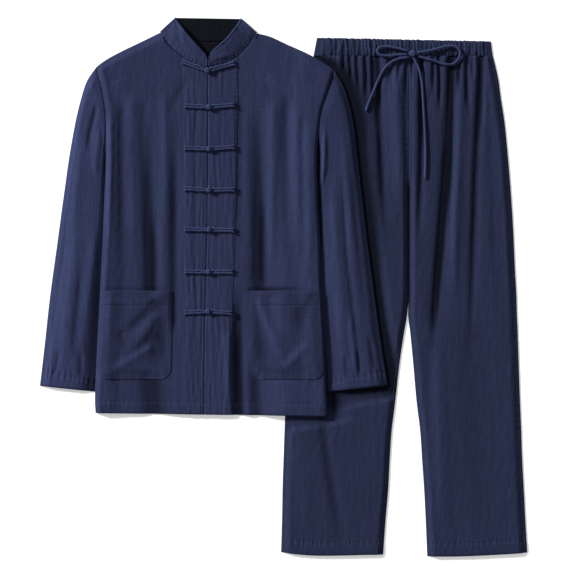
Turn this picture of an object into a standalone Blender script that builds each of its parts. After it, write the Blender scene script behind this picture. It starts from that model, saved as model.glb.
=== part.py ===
"""A mandarin collar suit laid flat: a jacket with knotted frogs and patch pockets over drawstring trousers.

Lengths are in millimetres on the sheet that the suit lies on: x runs right from the left cuff, y runs up
from the lowest trouser hem and z is height. Every point turns into metres, centred, in to_metres.
"""

import math

import bmesh
import bpy
import numpy as np
from mathutils import Vector
from mathutils.bvhtree import BVHTree

# Cloth and its layers
WALL = 1.2
COLLAR_WALL = 2.0
SEAM = 0.3
SHEET_CENTRE = (475.0, 525.1)
MM = 0.001

# Jacket landmarks
UNDERARM = 790.0
LEFT_SHOULDER = (111.0, 954.0)
RIGHT_SHOULDER = (575.0, 946.0)
LEFT_NECK = 236.0
RIGHT_NECK = 422.0

# How far one layer lifts the layer over it
TUCK = 14.0
TUCK_LIFT = 4.3
TROUSER_LIFT = 3.9
RAMP = 32.0
BODY_AIR = 2.2
SLEEVE_AIR = 2.4
LEG_AIR = 2.2
COVERED_AIR = 0.8
LEAST_AIR = 0.7
MOST_AIR = 3.9

# Trouser landmarks
WAIST_SEAM = 975.0
CROTCH = 710.0
CENTRE_SEAM = 719.0
GATHERS = 20
GATHER_DEPTH = 1.6

# Cords and knots
FROG_CORD = 2.1
FROG_SPREAD = 2.35
FROG_BALL = 5.4
DRAWSTRING = 2.5

# Colours read off the cloth, as red, green and blue from 0 to 1
NAVY = (0.025, 0.031, 0.071)
SHADED_NAVY = (0.020, 0.025, 0.052)


def table(columns, rows):
    """A short table as a dictionary of columns, sorted by its first column."""
    values = np.array(sorted(rows), float).T
    return dict(zip(columns.split(), values))


# Jacket outline. Columns: level, left edge, left band's edge, centre front, right band's edge, right edge.
BODY = table("y left band_left centre band_right right", [
    (275, 109, 281, 321, 374, 561),
    (294, 108, 281, 321, 374, 560),
    (363, 110, 281, 321, 375, 557),
    (441, 114, 281, 322, 376, 553),
    (538, 119, 281, 324, 378, 548),
    (616, 123, 281, 326, 381, 546),
    (694, 126, 281, 327, 383, 542),
    (762, 129, 281, 328, 385, 540),
    (815, 129, 281, 328, 385, 542),
    (866, 128, 281, 328, 386, 548),
    (905, 122, 280, 328, 386, 560),
    (950, 111, 280, 328, 386, 575),
])
LEFT_SHOULDER_LINE = table("x y", [(111, 954), (129, 967), (158, 983), (189, 998), (220, 1013), (236, 1021)])
RIGHT_SHOULDER_LINE = table("x y", [(422, 1019), (447, 1013), (480, 998), (513, 983), (545, 966), (575, 946)])
FRONT_NECK = table("x y", [
    (236, 1021), (240, 1010), (248, 999), (265, 983), (279, 972), (306, 957), (328, 951),
    (355, 957), (376, 967), (390, 976), (400, 987), (408, 996), (415, 1007), (422, 1019),
])
BACK_NECK = table("x y", [(236, 1021), (260, 1012), (290, 1007), (329, 1005), (370, 1007), (400, 1012), (422, 1019)])

# Rows of the jacket's panels: levels up to the underarm, then shares of the way to the top edge
BODY_LEVELS = (275, 302, 345, 363, 402, 441, 479, 517, 571, 626, 680, 735, UNDERARM)
ARMHOLE_SHARES = (0.2, 0.4, 0.58, 0.74, 0.88, 1.0)

# Sleeves. Columns: share of the length, then the outer and the inner edge of the flattened sleeve.
LEFT_SLEEVE = table("share outer_x outer_y inner_x inner_y", [
    (0.00, 111, 954, 129, 790),
    (0.09, 92, 926, 128, 750),
    (0.20, 76, 875, 136, 704),
    (0.35, 60, 795, 137, 633),
    (0.50, 47, 706, 134, 560),
    (0.65, 34, 610, 130, 486),
    (0.80, 19, 500, 126, 414),
    (0.92, 8, 400, 123, 355),
    (1.00, 0, 332, 122, 319),
])
RIGHT_SLEEVE = table("share outer_x outer_y inner_x inner_y", [
    (0.00, 575, 946, 540, 790),
    (0.09, 594, 912, 541, 750),
    (0.20, 609, 856, 530, 704),
    (0.35, 619, 776, 531, 633),
    (0.50, 629, 690, 534, 560),
    (0.65, 640, 600, 537, 486),
    (0.80, 654, 494, 542, 414),
    (0.92, 668, 396, 547, 355),
    (1.00, 678, 333, 549, 319),
])
SLEEVE_SHARES = (0, 0.045, 0.09, 0.15, 0.22, 0.31, 0.41, 0.52, 0.63, 0.74, 0.85, 0.94, 1)

# Trouser legs. Columns: level, then the outer and inner edges of the left and the right leg.
LEGS = table("y left_out left_in right_in right_out", [
    (0, 470, 669, 755, 950),
    (70, 472, 674, 752, 946),
    (129, 473, 679, 749, 943),
    (187, 475, 682, 745, 940),
    (246, 477, 686, 741, 938),
    (294, 479, 692, 735, 936),
    (382, 484, 702, 727, 933),
    (441, 487, 711, 721, 931),
    (464, 488, 715, 718, 930),
    (558, 493, 717, 719, 926),
    (645, 499, 718, 720, 922),
    (733, 505, 718.8, 719.2, 916),
    (792, 510, 718.8, 719.2, 911),
    (850, 516, 718.8, 719.2, 905),
    (889, 521, 718.8, 719.2, 899),
    (932, 526, 718.8, 719.2, 893),
    (963, 531, 718.8, 719.2, 886),
    (975, 533, 718.8, 719.2, 883),
])
LEG_HEMS = table("x y", [(470, 8), (503, 4), (669, 3), (755, 0), (809, 0), (864, 2), (950, 7)])
LEG_LEVELS = (0, 45, 100, 160, 225, 270, 318, 360, 410, 464, 525, 590, 650, CROTCH, 775, 835, 885, 925, 953,
              WAIST_SEAM)
WAISTBAND = {"bottom": ((533, 975.3), (883, 975.3)), "top": ((540, 1010), (879, 1003))}

# What lies over the trousers. Columns: level, right edge of the jacket or its sleeve.
COVER = table("y x", [
    (235, 380), (262, 575), (290, 590), (312, 690), (333, 690), (470, 668), (640, 645), (790, 625), (864, 620),
    (920, 600), (960, 565), (975, 540),
])

# Folds, each a soft ridge or trough between two points. Columns: both ends, height or depth, half width.
FOLD_COLUMNS = "x0 y0 x1 y1 size width"
JACKET_FOLDS = table(FOLD_COLUMNS, [
    (152, 640, 142, 330, 0.8, 12),
    (172, 860, 172, 440, 1.5, 14),
    (213, 810, 215, 470, -1.6, 12),
    (226, 470, 222, 300, -1.2, 10),
    (243, 850, 243, 450, 1.3, 10),
    (263, 860, 263, 430, -1.3, 9),
    (417, 860, 414, 490, -1.5, 12),
    (456, 870, 458, 450, 1.5, 14),
    (482, 830, 484, 470, -1.1, 11),
    (511, 860, 515, 420, 1.3, 13),
])
TROUSER_FOLDS = table(FOLD_COLUMNS, [
    (591, 210, 591, 30, -1.0, 15),
    (620, 1000, 618, 880, -1.2, 8),
    (640, 320, 632, 60, 1.2, 18),
    (644, 1010, 646, 850, 1.3, 9),
    (655, 940, 668, 540, -1.3, 11),
    (663, 1005, 664, 900, -1.4, 8),
    (680, 1010, 684, 870, 1.4, 8),
    (690, 940, 694, 560, 1.1, 12),
    (701, 1010, 703, 860, -1.5, 8),
    (732, 1010, 735, 830, 1.5, 9),
    (744, 920, 749, 620, -1.3, 10),
    (748, 1010, 752, 880, -1.4, 8),
    (755, 380, 748, 190, -0.8, 12),
    (768, 1010, 772, 800, 1.5, 9),
    (776, 400, 776, 80, 1.1, 18),
    (785, 1005, 788, 890, -1.4, 8),
    (798, 965, 772, 460, -1.6, 12),
    (804, 1010, 808, 850, 1.4, 9),
    (823, 1010, 828, 900, -1.5, 8),
    (826, 930, 806, 470, 1.4, 13),
    (828, 350, 819, 50, -1.0, 14),
    (841, 1010, 847, 820, 1.5, 9),
    (856, 965, 842, 450, -1.2, 12),
    (860, 1010, 868, 870, -1.2, 8),
])

# Frogs from the collar down. Columns: left tail's tip, knot and right tail's tip.
FROGS = (
    {"tail": (278, 963), "knot": (327, 945), "loop": (382, 960)},
    {"tail": (282, 877), "knot": (330, 874), "loop": (382, 879)},
    {"tail": (282, 795), "knot": (330, 793), "loop": (382, 797)},
    {"tail": (282, 716), "knot": (330, 713), "loop": (382, 714)},
    {"tail": (282, 637), "knot": (330, 636), "loop": (381, 635)},
    {"tail": (282, 555), "knot": (329, 554), "loop": (379, 554)},
    {"tail": (282, 475), "knot": (328, 477), "loop": (377, 474)},
)

# The drawstring's bow, as routes on the cloth that start and end beside the knot
BOW_KNOT = (725.5, 978)
BOW_KNOT_SIZE = (8, 7, 5)
BOW_ROUTES = {
    "drawstring_loop_left": [(716, 983), (702, 987), (688, 990), (672, 992), (660, 989), (656, 983), (660, 977),
                             (672, 974), (690, 975), (703, 976.5), (715.5, 976.5)],
    "drawstring_loop_right": [(735.5, 980.5), (749, 982), (768, 986), (794, 992.5), (811, 991), (818, 981),
                              (815, 968), (806, 959), (794, 957), (768, 964), (748, 969.5), (736.5, 973)],
    "drawstring_end_left": [(717.5, 970.5), (706, 969.5), (693, 966), (677, 956), (664, 937), (651, 908),
                            (641, 884), (635, 866)],
    "drawstring_end_right": [(728, 969.5), (733, 960), (738, 949), (743, 929), (746, 895), (749, 843), (751, 791),
                             (751, 764), (750, 735)],
}


def smooth(t):
    """Eases from 0 to 1 as t goes from 0 to 1."""
    t = np.clip(t, 0.0, 1.0)
    return t * t * (3.0 - 2.0 * t)


def mix(a, b, share):
    return a + (b - a) * share


def read(rows, column, at, key="y"):
    """A table's column at any value of its key, along a smooth curve through the rows."""
    keys = rows[key]
    values = rows[column]
    slopes = np.gradient(values, keys)
    at = np.clip(at, keys[0], keys[-1])
    i = np.clip(np.searchsorted(keys, at) - 1, 0, len(keys) - 2)
    step = keys[i + 1] - keys[i]
    t = (at - keys[i]) / step
    bend = (1 - t) * slopes[i] - t * slopes[i + 1] - (1 - 2 * t) * (values[i + 1] - values[i]) / step
    return mix(values[i], values[i + 1], t) + step * t * (1 - t) * bend


def folds_at(folds, x, y):
    """Height that a table of folds adds at a point."""
    total = 0.0
    for x0, y0, x1, y1, size, width in zip(*folds.values()):
        run_x = x1 - x0
        run_y = y1 - y0
        length = math.hypot(run_x, run_y)
        along = ((x - x0) * run_x + (y - y0) * run_y) / length
        across = ((x - x0) * run_y - (y - y0) * run_x) / length
        ends = smooth(along / (0.3 * length)) * smooth((length - along) / (0.3 * length))
        total = total + size * ends * np.exp(-(across / width) ** 2)
    return total


def jacket_hem(x):
    return 279.0 - 6.0 * (x - 109.0) / 452.0


def jacket_top(x, neck):
    """Level of the shoulder seam or of one panel's neckline."""
    if x < LEFT_NECK - 0.01:
        return float(read(LEFT_SHOULDER_LINE, "y", x, "x"))
    if x > RIGHT_NECK + 0.01:
        return float(read(RIGHT_SHOULDER_LINE, "y", x, "x"))
    return float(read(neck, "y", x, "x"))


def body_point(column, row, neck):
    """Place of one grid point of a jacket panel. A column is a share of the way between two outline curves."""
    start, end, share = column

    def column_x(y):
        return float(mix(read(BODY, start, y), read(BODY, end, y), share))

    top = jacket_top(column_x(960.0), neck)
    if row < len(BODY_LEVELS):
        y = float(BODY_LEVELS[row])
    else:
        y = mix(UNDERARM, top, ARMHOLE_SHARES[row - len(BODY_LEVELS)])
    x = column_x(y)
    if row == 0:
        y = jacket_hem(x)
    return x, y


def beside_armhole(y):
    """Runs from 0 at the underarm to 1 at the shoulder point."""
    return np.clip((y - UNDERARM) / (LEFT_SHOULDER[1] - UNDERARM), 0.0, 1.0)


def jacket_rest(x, y):
    """Height of the jacket's underside: it climbs onto the tucked sleeves and onto the trousers."""
    from_side = np.minimum(x - read(BODY, "left", y), read(BODY, "right", y) - x)
    tucked = 1.0 - smooth((from_side - TUCK - 5.0) / RAMP)
    sleeve_there = mix(0.3, 1.0, smooth((y - 275.0) / 25.0)) * (1.0 - beside_armhole(y))
    over_trousers = smooth((x - read(LEGS, "left_out", y) + RAMP + 10.0) / RAMP)
    return TUCK_LIFT * tucked * sleeve_there + TROUSER_LIFT * over_trousers


def armhole_air(y):
    """Air between the layers where a sleeve meets the body."""
    return SEAM + 1.9 * np.sin(math.pi * beside_armhole(y))


def jacket_air(x, y):
    """Air between the jacket's front and back: none at the seams, more under the folds."""
    from_side = np.minimum(x - read(BODY, "left", y), read(BODY, "right", y) - x)
    inside = np.clip(BODY_AIR + folds_at(JACKET_FOLDS, x, y), LEAST_AIR, MOST_AIR)
    air = mix(armhole_air(y), inside, smooth(from_side / 30.0))
    if not LEFT_NECK < x < RIGHT_NECK:
        air = mix(SEAM, air, smooth((jacket_top(x, FRONT_NECK) - y) / 25.0))
    return air


def front_underside(x, y):
    return jacket_rest(x, y) + WALL + jacket_air(x, y)


def leg_air(x, y):
    """Air between the front and back of a trouser leg, pressed flat where the jacket lies over it."""
    if x < CENTRE_SEAM:
        from_out = x - read(LEGS, "left_out", y)
        from_in = read(LEGS, "left_in", y) - x
    else:
        from_out = read(LEGS, "right_out", y) - x
        from_in = x - read(LEGS, "right_in", y)
    inside = np.clip(LEG_AIR + folds_at(TROUSER_FOLDS, x, y), LEAST_AIR, MOST_AIR)
    inside = mix(COVERED_AIR, inside, smooth((x - read(COVER, "x", y)) / 28.0))
    at_inner = mix(SEAM, 1.4, smooth((y - CROTCH + 10.0) / 60.0))
    at_inner = np.minimum(at_inner, inside)
    air = mix(at_inner, inside, smooth(from_in / 26.0))
    return mix(SEAM, air, smooth(from_out / 26.0))


def to_metres(point):
    x, y, z = point
    return Vector(((x - SHEET_CENTRE[0]) * MM, (y - SHEET_CENTRE[1]) * MM, z * MM))


def cloth_material(name, colour, roughness):
    material = bpy.data.materials.new(name)
    material.use_nodes = True
    shader = material.node_tree.nodes["Principled BSDF"]
    shader.inputs["Base Color"].default_value = (*colour, 1.0)
    shader.inputs["Roughness"].default_value = roughness
    shader.inputs["Metallic"].default_value = 0.0
    return material


def keep(name, mesh_or_curve, colour=NAVY, roughness=0.9):
    """Puts new object data in the suit's collection with a material of its own."""
    item = bpy.data.objects.new(name, mesh_or_curve)
    mesh_or_curve.materials.append(cloth_material(name, colour, roughness))
    SUIT.objects.link(item)
    return item


def mesh_from(name, bm):
    bmesh.ops.recalc_face_normals(bm, faces=bm.faces)
    mesh = bpy.data.meshes.new(name)
    bm.to_mesh(mesh)
    bm.free()
    mesh.shade_smooth()
    mesh.set_sharp_from_angle(angle=math.radians(50))
    return mesh


def panel(name, points, thickness=WALL, cut_corners=()):
    """A cloth panel: a grid laid through rows of points on its underside, then thickened upwards.

    A cut corner is a grid vertex, as row and column, that is left out to round the panel's corner.
    """
    rows = len(points)
    columns = len(points[0])
    bm = bmesh.new()
    bmesh.ops.create_grid(bm, x_segments=columns - 1, y_segments=rows - 1, size=1.0)
    grid = sorted(bm.verts, key=lambda v: (round(v.co.y, 5), round(v.co.x, 5)))
    places = [point for row in points for point in row]
    for vertex, point in zip(grid, places):
        vertex.co = to_metres(point)
    for row, column in cut_corners:
        corner = grid[row * columns + column]
        neighbours = [edge.other_vert(corner) for edge in corner.link_edges]
        bmesh.ops.connect_verts(bm, verts=neighbours)
        bmesh.ops.delete(bm, geom=[corner], context="VERTS")
    top = bmesh.ops.extrude_face_region(bm, geom=bm.faces[:])
    lifted = [item for item in top["geom"] if isinstance(item, bmesh.types.BMVert)]
    bmesh.ops.translate(bm, verts=lifted, vec=(0, 0, thickness * MM))
    return keep(name, mesh_from(name, bm))


def loft(name, outer, inner, closed, colour=NAVY):
    """A cloth wall between an outer and an inner surface, each a list of loops of points.

    Closed loops make a tube that is open at both ends; open loops make a strip with closed ends.
    """
    bm = bmesh.new()
    surfaces = [[[bm.verts.new(to_metres(p)) for p in loop] for loop in side] for side in (outer, inner)]
    count = len(outer[0])
    steps = range(count if closed else count - 1)
    for side in surfaces:
        for low, high in zip(side, side[1:]):
            for i in steps:
                j = (i + 1) % count
                bm.faces.new((low[i], low[j], high[j], high[i]))
    for end in (0, -1):
        out_loop = surfaces[0][end]
        in_loop = surfaces[1][end]
        for i in steps:
            j = (i + 1) % count
            bm.faces.new((out_loop[i], out_loop[j], in_loop[j], in_loop[i]))
    if not closed:
        for i in (0, -1):
            for k in range(len(outer) - 1):
                corners = (surfaces[0][k][i], surfaces[0][k + 1][i], surfaces[1][k + 1][i], surfaces[1][k][i])
                bm.faces.new(corners)
    return keep(name, mesh_from(name, bm), colour)


def smooth_route(points, step):
    """Points at an even step along a smooth curve through a route's own points."""
    points = np.array(points, float)
    reach = np.concatenate([[0.0], np.cumsum(np.linalg.norm(np.diff(points, axis=0), axis=1))])
    rows = {"reach": reach}
    for axis in range(points.shape[1]):
        rows[axis] = points[:, axis]
    count = max(3, round(reach[-1] / step) + 1)
    at = np.linspace(0.0, reach[-1], count)
    return np.stack([read(rows, axis, at, "reach") for axis in range(points.shape[1])], axis=1)


def cord(name, points, radius, resolution):
    """A round cord through points, as a curve with a bevel and closed ends."""
    curve = bpy.data.curves.new(name, "CURVE")
    curve.dimensions = "3D"
    curve.bevel_depth = radius * MM
    curve.bevel_resolution = resolution
    curve.use_fill_caps = True
    spline = curve.splines.new("POLY")
    spline.points.add(len(points) - 1)
    for spot, point in zip(spline.points, points):
        spot.co = (*to_metres(point), 1.0)
    return keep(name, curve, SHADED_NAVY)


def top_of(objects):
    """A function that gives the height of the highest of some objects at a point of the sheet."""
    trees = []
    for item in objects:
        corners = [vertex.co for vertex in item.data.vertices]
        faces = [list(face.vertices) for face in item.data.polygons]
        trees.append(BVHTree.FromPolygons(corners, faces))

    def height(x, y):
        above = to_metres((x, y, 100.0))
        hits = [tree.ray_cast(above, Vector((0, 0, -1)))[0] for tree in trees]
        return max([hit.z / MM for hit in hits if hit is not None], default=0.0)

    return height


def highest_around(height, x, y, reach):
    """The cloth's top within a reach of a point, under a cord or a knot."""
    turns = np.linspace(0.0, math.tau, 9)[:-1]
    spots = [(x + r * math.cos(a), y + r * math.sin(a)) for r in (0.5 * reach, reach) for a in turns]
    return max(height(*spot) for spot in [(x, y), *spots])


# Columns of the jacket's panels, from each side edge to the band's edge and on to the centre front
NECK_SHARE_LEFT = (LEFT_NECK - 111.0) / (280.0 - 111.0)
NECK_SHARE_RIGHT = (575.0 - RIGHT_NECK) / (575.0 - 386.0)
POCKET_NEAR_SHARE = 0.025
POCKET_FAR_SHARES = {"left": 0.857, "right": NECK_SHARE_RIGHT}
LEFT_SHARES = (0, 0.025, 0.115, 0.21, 0.30, 0.40, 0.50, 0.60, 0.67, NECK_SHARE_LEFT, 0.80, 0.857, 0.93)
RIGHT_SHARES = (0, 0.025, 0.11, 0.19, 0.28, 0.37, 0.46, 0.55, 0.64, 0.73, NECK_SHARE_RIGHT, 0.88, 0.94)
BAND_SHARES = (0, 0.35, 0.7, 1)
SIDE_COLUMNS_ON_BACK = 5


def front_columns(side):
    """Columns of one front from its side seam to the centre front."""
    if side == "left":
        outside = [("left", "band_left", share) for share in LEFT_SHARES]
        return outside + [("band_left", "centre", share) for share in BAND_SHARES]
    outside = [("right", "band_right", share) for share in RIGHT_SHARES]
    return outside + [("band_right", "centre", share) for share in BAND_SHARES]


def front_points(side):
    """Underside points of one front, row by row, left to right on the sheet."""
    columns = front_columns(side)
    inward = SEAM / 2 if side == "left" else -SEAM / 2
    rows = []
    for row in range(len(BODY_LEVELS) + len(ARMHOLE_SHARES)):
        line = []
        for column in columns:
            x, y = body_point(column, row, FRONT_NECK)
            z = float(front_underside(x, y))
            if column[1:] == ("centre", 1):
                x -= inward
            line.append((x, y, z))
        rows.append(line if side == "left" else line[::-1])
    return rows


def back_columns():
    """Columns of the back: as close as the fronts' at the side seams, wider apart in the middle."""
    left = [("left", "band_left", share) for share in LEFT_SHARES]
    right = [("right", "band_right", share) for share in RIGHT_SHARES]
    kept_left = left[:SIDE_COLUMNS_ON_BACK] + left[6:9:2] + [left[9], left[11]]
    kept_right = right[:8] + [right[9], right[10]]
    middle = [("band_left", "centre", 0), ("band_left", "centre", 1), ("band_right", "centre", 0)]
    return kept_left + middle + kept_right[::-1]


def build_jacket_back():
    rows = []
    for row in range(len(BODY_LEVELS) + len(ARMHOLE_SHARES)):
        spots = [body_point(column, row, BACK_NECK) for column in back_columns()]
        rows.append([(x, y, float(jacket_rest(x, y))) for x, y in spots])
    return panel("jacket_back", rows)


def raised(points, by):
    return [[(x, y, z + by) for x, y, z in row] for row in points]


def build_placket(side, points):
    """The band along one front's edge, laid on the front's own points."""
    columns = len(BAND_SHARES)
    band = [row[-columns:] if side == "left" else row[:columns] for row in points]
    return panel(f"placket_{side}", raised(band, WALL + SEAM))


def build_pocket(side, points):
    """A patch pocket on the front's own points, with rounded lower corners and a mouth a little open."""
    low = BODY_LEVELS.index(345)
    high = BODY_LEVELS.index(517)
    shares = LEFT_SHARES if side == "left" else RIGHT_SHARES
    near = shares.index(POCKET_NEAR_SHARE)
    far = shares.index(POCKET_FAR_SHARES[side])
    rows = []
    for row in points[low:high + 1]:
        rows.append(row[near:far + 1] if side == "left" else row[::-1][near:far + 1][::-1])
    rows = raised(rows, WALL + SEAM)
    last = len(rows[0]) - 1
    for i in range(last + 1):
        x, y, z = rows[-1][i]
        rows[-1][i] = (x, y, z + 1.0 * math.sin(math.pi * i / last))
    corners = [(0, last), (0, 0)]
    return panel(f"pocket_{side}", rows, cut_corners=corners)


def sleeve_section(side, share, spots):
    """One flattened section: for each spot across it, its place, the rest height and the air inside."""
    rows = LEFT_SLEEVE if side == "left" else RIGHT_SLEEVE
    outer = np.array([read(rows, "outer_x", share, "share"), read(rows, "outer_y", share, "share")])
    inner = np.array([read(rows, "inner_x", share, "share"), read(rows, "inner_y", share, "share")])
    first_outer = np.array([rows["outer_x"][0], rows["outer_y"][0]])
    first_inner = np.array([rows["inner_x"][0], rows["inner_y"][0]])
    outward = 1.0 if side == "right" else -1.0
    width = np.linalg.norm(inner - outer)
    section = []
    for across in spots:
        level = mix(LEFT_SHOULDER[1] if side == "left" else RIGHT_SHOULDER[1], UNDERARM, across)
        edge = np.array([read(BODY, side, level) + outward * SEAM, level])
        bulge = edge - mix(first_outer, first_inner, across)
        x, y = mix(outer, inner, across) + bulge * (1.0 - share) ** 6
        base = TROUSER_LIFT if side == "right" else 0.0
        at_armhole = float(jacket_rest(read(BODY, side, level), level))
        rest = mix(at_armhole, base, smooth(share / 0.085))
        crown = smooth(across * width / 24.0) * smooth(((1.0 - across) * width - TUCK - 2.0) / 26.0)
        ridges = 0.9 * math.sin(5.2 * across + 3.1 * share) * smooth((share - 0.1) / 0.3)
        laid = SEAM + (SLEEVE_AIR + ridges) * crown
        air = mix(float(armhole_air(level)), laid, smooth(share / 0.15))
        section.append((float(x), float(y), float(rest), float(air)))
    return section


def flat_tube(sections, wall):
    """Outer and inner loops of a flattened tube, each with a rounded point at both edges."""
    outer = []
    inner = []
    for section in sections:
        first = np.array(section[0][:2])
        last = np.array(section[-1][:2])
        along = (last - first) / np.linalg.norm(last - first)
        insets = [wall] + [0.0] * (len(section) - 2) + [-wall]
        out_top = []
        out_low = []
        in_top = []
        in_low = []
        for inset, (x, y, rest, air) in zip(insets, section):
            x, y = np.array((x, y)) + along * inset
            out_top.append((x, y, rest + 2 * wall + air))
            out_low.append((x, y, rest))
            in_top.append((x, y, rest + wall + air))
            in_low.append((x, y, rest + wall))
        first_mid = (*first, section[0][2] + wall + section[0][3] / 2)
        last_mid = (*last, section[-1][2] + wall + section[-1][3] / 2)
        inner_first = (*(first + along * wall * 0.85), first_mid[2])
        inner_last = (*(last - along * wall * 0.85), last_mid[2])
        outer.append([first_mid] + out_top + [last_mid] + out_low[::-1])
        inner.append([inner_first] + in_top + [inner_last] + in_low[::-1])
    return outer, inner


def build_sleeve(side):
    """A sleeve as a flattened tube whose first section follows the armhole's own points."""
    spots = [1.0 - share for share in (0.0, *ARMHOLE_SHARES)][::-1]
    sections = [sleeve_section(side, share, spots) for share in SLEEVE_SHARES]
    outer, inner = flat_tube(sections, WALL)
    return loft(f"sleeve_{side}", outer, inner, closed=True)


# Collar. Columns: share of the way from the side of the neck to the centre front, free edge's place.
COLLAR_EDGE_LEFT = table("share x y", [
    (0.0, 266, 1049), (0.15, 273, 1037), (0.32, 282, 1025), (0.5, 293, 1011), (0.68, 306, 997), (0.85, 318, 984),
    (0.95, 325, 975), (1.0, 327.5, 967),
])
COLLAR_EDGE_RIGHT = table("share x y", [
    (0.0, 391, 1047), (0.15, 384, 1035), (0.32, 376, 1024), (0.5, 364, 1009), (0.68, 350, 996), (0.85, 337, 985),
    (0.95, 331, 977), (1.0, 328.5, 967),
])
COLLAR_HEIGHTS = (0.0, 0.4, 0.75, 1.0)
COLLAR_BASE_TOP = 4.7
COLLAR_RISE = 3.4


def collar_flap(side, height):
    """Top points of one front half of the collar at a share of its height, from the centre to the side."""
    neck_share = NECK_SHARE_LEFT if side == "left" else NECK_SHARE_RIGHT
    columns = [column for column in front_columns(side) if column[1] == "centre" or column[2] >= neck_share]
    last_row = len(BODY_LEVELS) + len(ARMHOLE_SHARES) - 1
    base = [body_point(column, last_row, FRONT_NECK) for column in columns]
    edge = COLLAR_EDGE_LEFT if side == "left" else COLLAR_EDGE_RIGHT
    steps = np.linalg.norm(np.diff(np.array(base), axis=0), axis=1)
    reach = np.concatenate([[0.0], np.cumsum(steps)]) / steps.sum()
    line = []
    for (x, y), share in zip(base, reach):
        free = (read(edge, "x", share, "share"), read(edge, "y", share, "share"))
        if share == 1.0:
            x += -SEAM / 2 if side == "left" else SEAM / 2
        start = (x, y + SEAM)
        lift = COLLAR_RISE * height * smooth(share / 0.3) * mix(1.0, 0.55, smooth((share - 0.7) / 0.3))
        line.append((mix(start[0], free[0], height), mix(start[1], free[1], height), COLLAR_BASE_TOP + lift))
    return line[::-1]


def collar_back(height):
    """Underside points of the collar's back half at a share of its height, left to right."""
    last_row = len(BODY_LEVELS) + len(ARMHOLE_SHARES) - 1
    spots = [body_point(column, last_row, BACK_NECK) for column in back_columns()]
    spots = [spot for spot in spots if LEFT_NECK - 0.5 <= spot[0] <= RIGHT_NECK + 0.5]
    line = []
    for x, y in spots:
        across = (x - LEFT_NECK) / (RIGHT_NECK - LEFT_NECK)
        free = (mix(266.0, 391.0, across), mix(1049.0, 1047.0, across))
        line.append((mix(x, free[0], height), mix(y + SEAM, free[1], height), 0.0))
    return line


def build_collar():
    """The stand collar folded flat: one strip from the left centre front, behind the neck, to the right one."""
    outer = []
    inner = []
    for height in COLLAR_HEIGHTS:
        left = collar_flap("left", height)
        back = collar_back(height)
        right = collar_flap("right", height)[::-1]
        left_turn = (left[-1][0] - 1.4, left[-1][1] + 1.4, COLLAR_BASE_TOP / 2)
        right_turn = (right[0][0] + 1.4, right[0][1] + 1.4, COLLAR_BASE_TOP / 2)
        outer.append(left + [left_turn] + back + [right_turn] + right)
        under_left = [(x, y, z - COLLAR_WALL) for x, y, z in left]
        under_right = [(x, y, z - COLLAR_WALL) for x, y, z in right]
        over_back = [(x, y, z + COLLAR_WALL) for x, y, z in back]
        inner_left = (left[-1][0] + 0.6, left[-1][1] - 0.6 * height, COLLAR_BASE_TOP / 2)
        inner_right = (right[0][0] - 0.6, right[0][1] - 0.6 * height, COLLAR_BASE_TOP / 2)
        inner.append(under_left + [inner_left] + over_back + [inner_right] + under_right)
    return loft("collar", outer, inner, closed=False)


def build_leg(name, out_edge, in_edge, front):
    """Front or back panel of one trouser leg."""
    shares = np.linspace(0.0, 1.0, 23) if front else np.linspace(0.0, 1.0, 4)
    rows = []
    for level in LEG_LEVELS:
        line = []
        for share in shares:
            x = float(mix(read(LEGS, out_edge, level), read(LEGS, in_edge, level), share))
            y = float(read(LEG_HEMS, "y", x, "x")) if level == 0 else float(level)
            z = WALL + float(leg_air(x, y)) if front else 0.0
            line.append((x, y, z))
        rows.append(line if line[0][0] < line[-1][0] else line[::-1])
    return panel(name, rows)


def build_waistband():
    """The elastic waistband: a flattened tube whose two layers are drawn into gathers."""
    samples = GATHERS * 4
    sections = {"outer": [], "inner": []}
    for edge in ("bottom", "top"):
        (x0, y0), (x1, y1) = WAISTBAND[edge]
        top_out = []
        low_out = []
        for i in range(samples + 1):
            share = i / samples
            plump = smooth(share * 12.0) * smooth((1.0 - share) * 12.0)
            front_wave = GATHER_DEPTH * plump * (0.5 - 0.5 * math.cos(math.tau * GATHERS * share))
            back_wave = GATHER_DEPTH * plump * (0.5 - 0.5 * math.cos(math.tau * GATHERS * share + 1.1))
            x = mix(x0, x1, share)
            y = mix(y0, y1, share)
            top_out.append((x, y, 2 * WALL + SEAM + 1.8 * plump + front_wave))
            low_out.append((x, y, back_wave))
        first = (x0 - 1.0, y0, WALL + SEAM / 2)
        last = (x1 + 1.0, y1, WALL + SEAM / 2)
        in_first = (x0 + 0.2, y0, WALL + SEAM / 2)
        in_last = (x1 - 0.2, y1, WALL + SEAM / 2)
        top_in = [(x, y, z - WALL) for x, y, z in top_out]
        low_in = [(x, y, z + WALL) for x, y, z in low_out]
        sections["outer"].append([first] + top_out + [last] + low_out[::-1])
        sections["inner"].append([in_first] + top_in + [in_last] + low_in[::-1])
    return loft("waistband", sections["outer"], sections["inner"], closed=True)


def laid_path(flat_points, height, radius, reach):
    """A cord's points laid on the highest cloth within a reach of each."""
    return [(x, y, highest_around(height, x, y, reach) + radius + SEAM) for x, y in flat_points]


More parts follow.
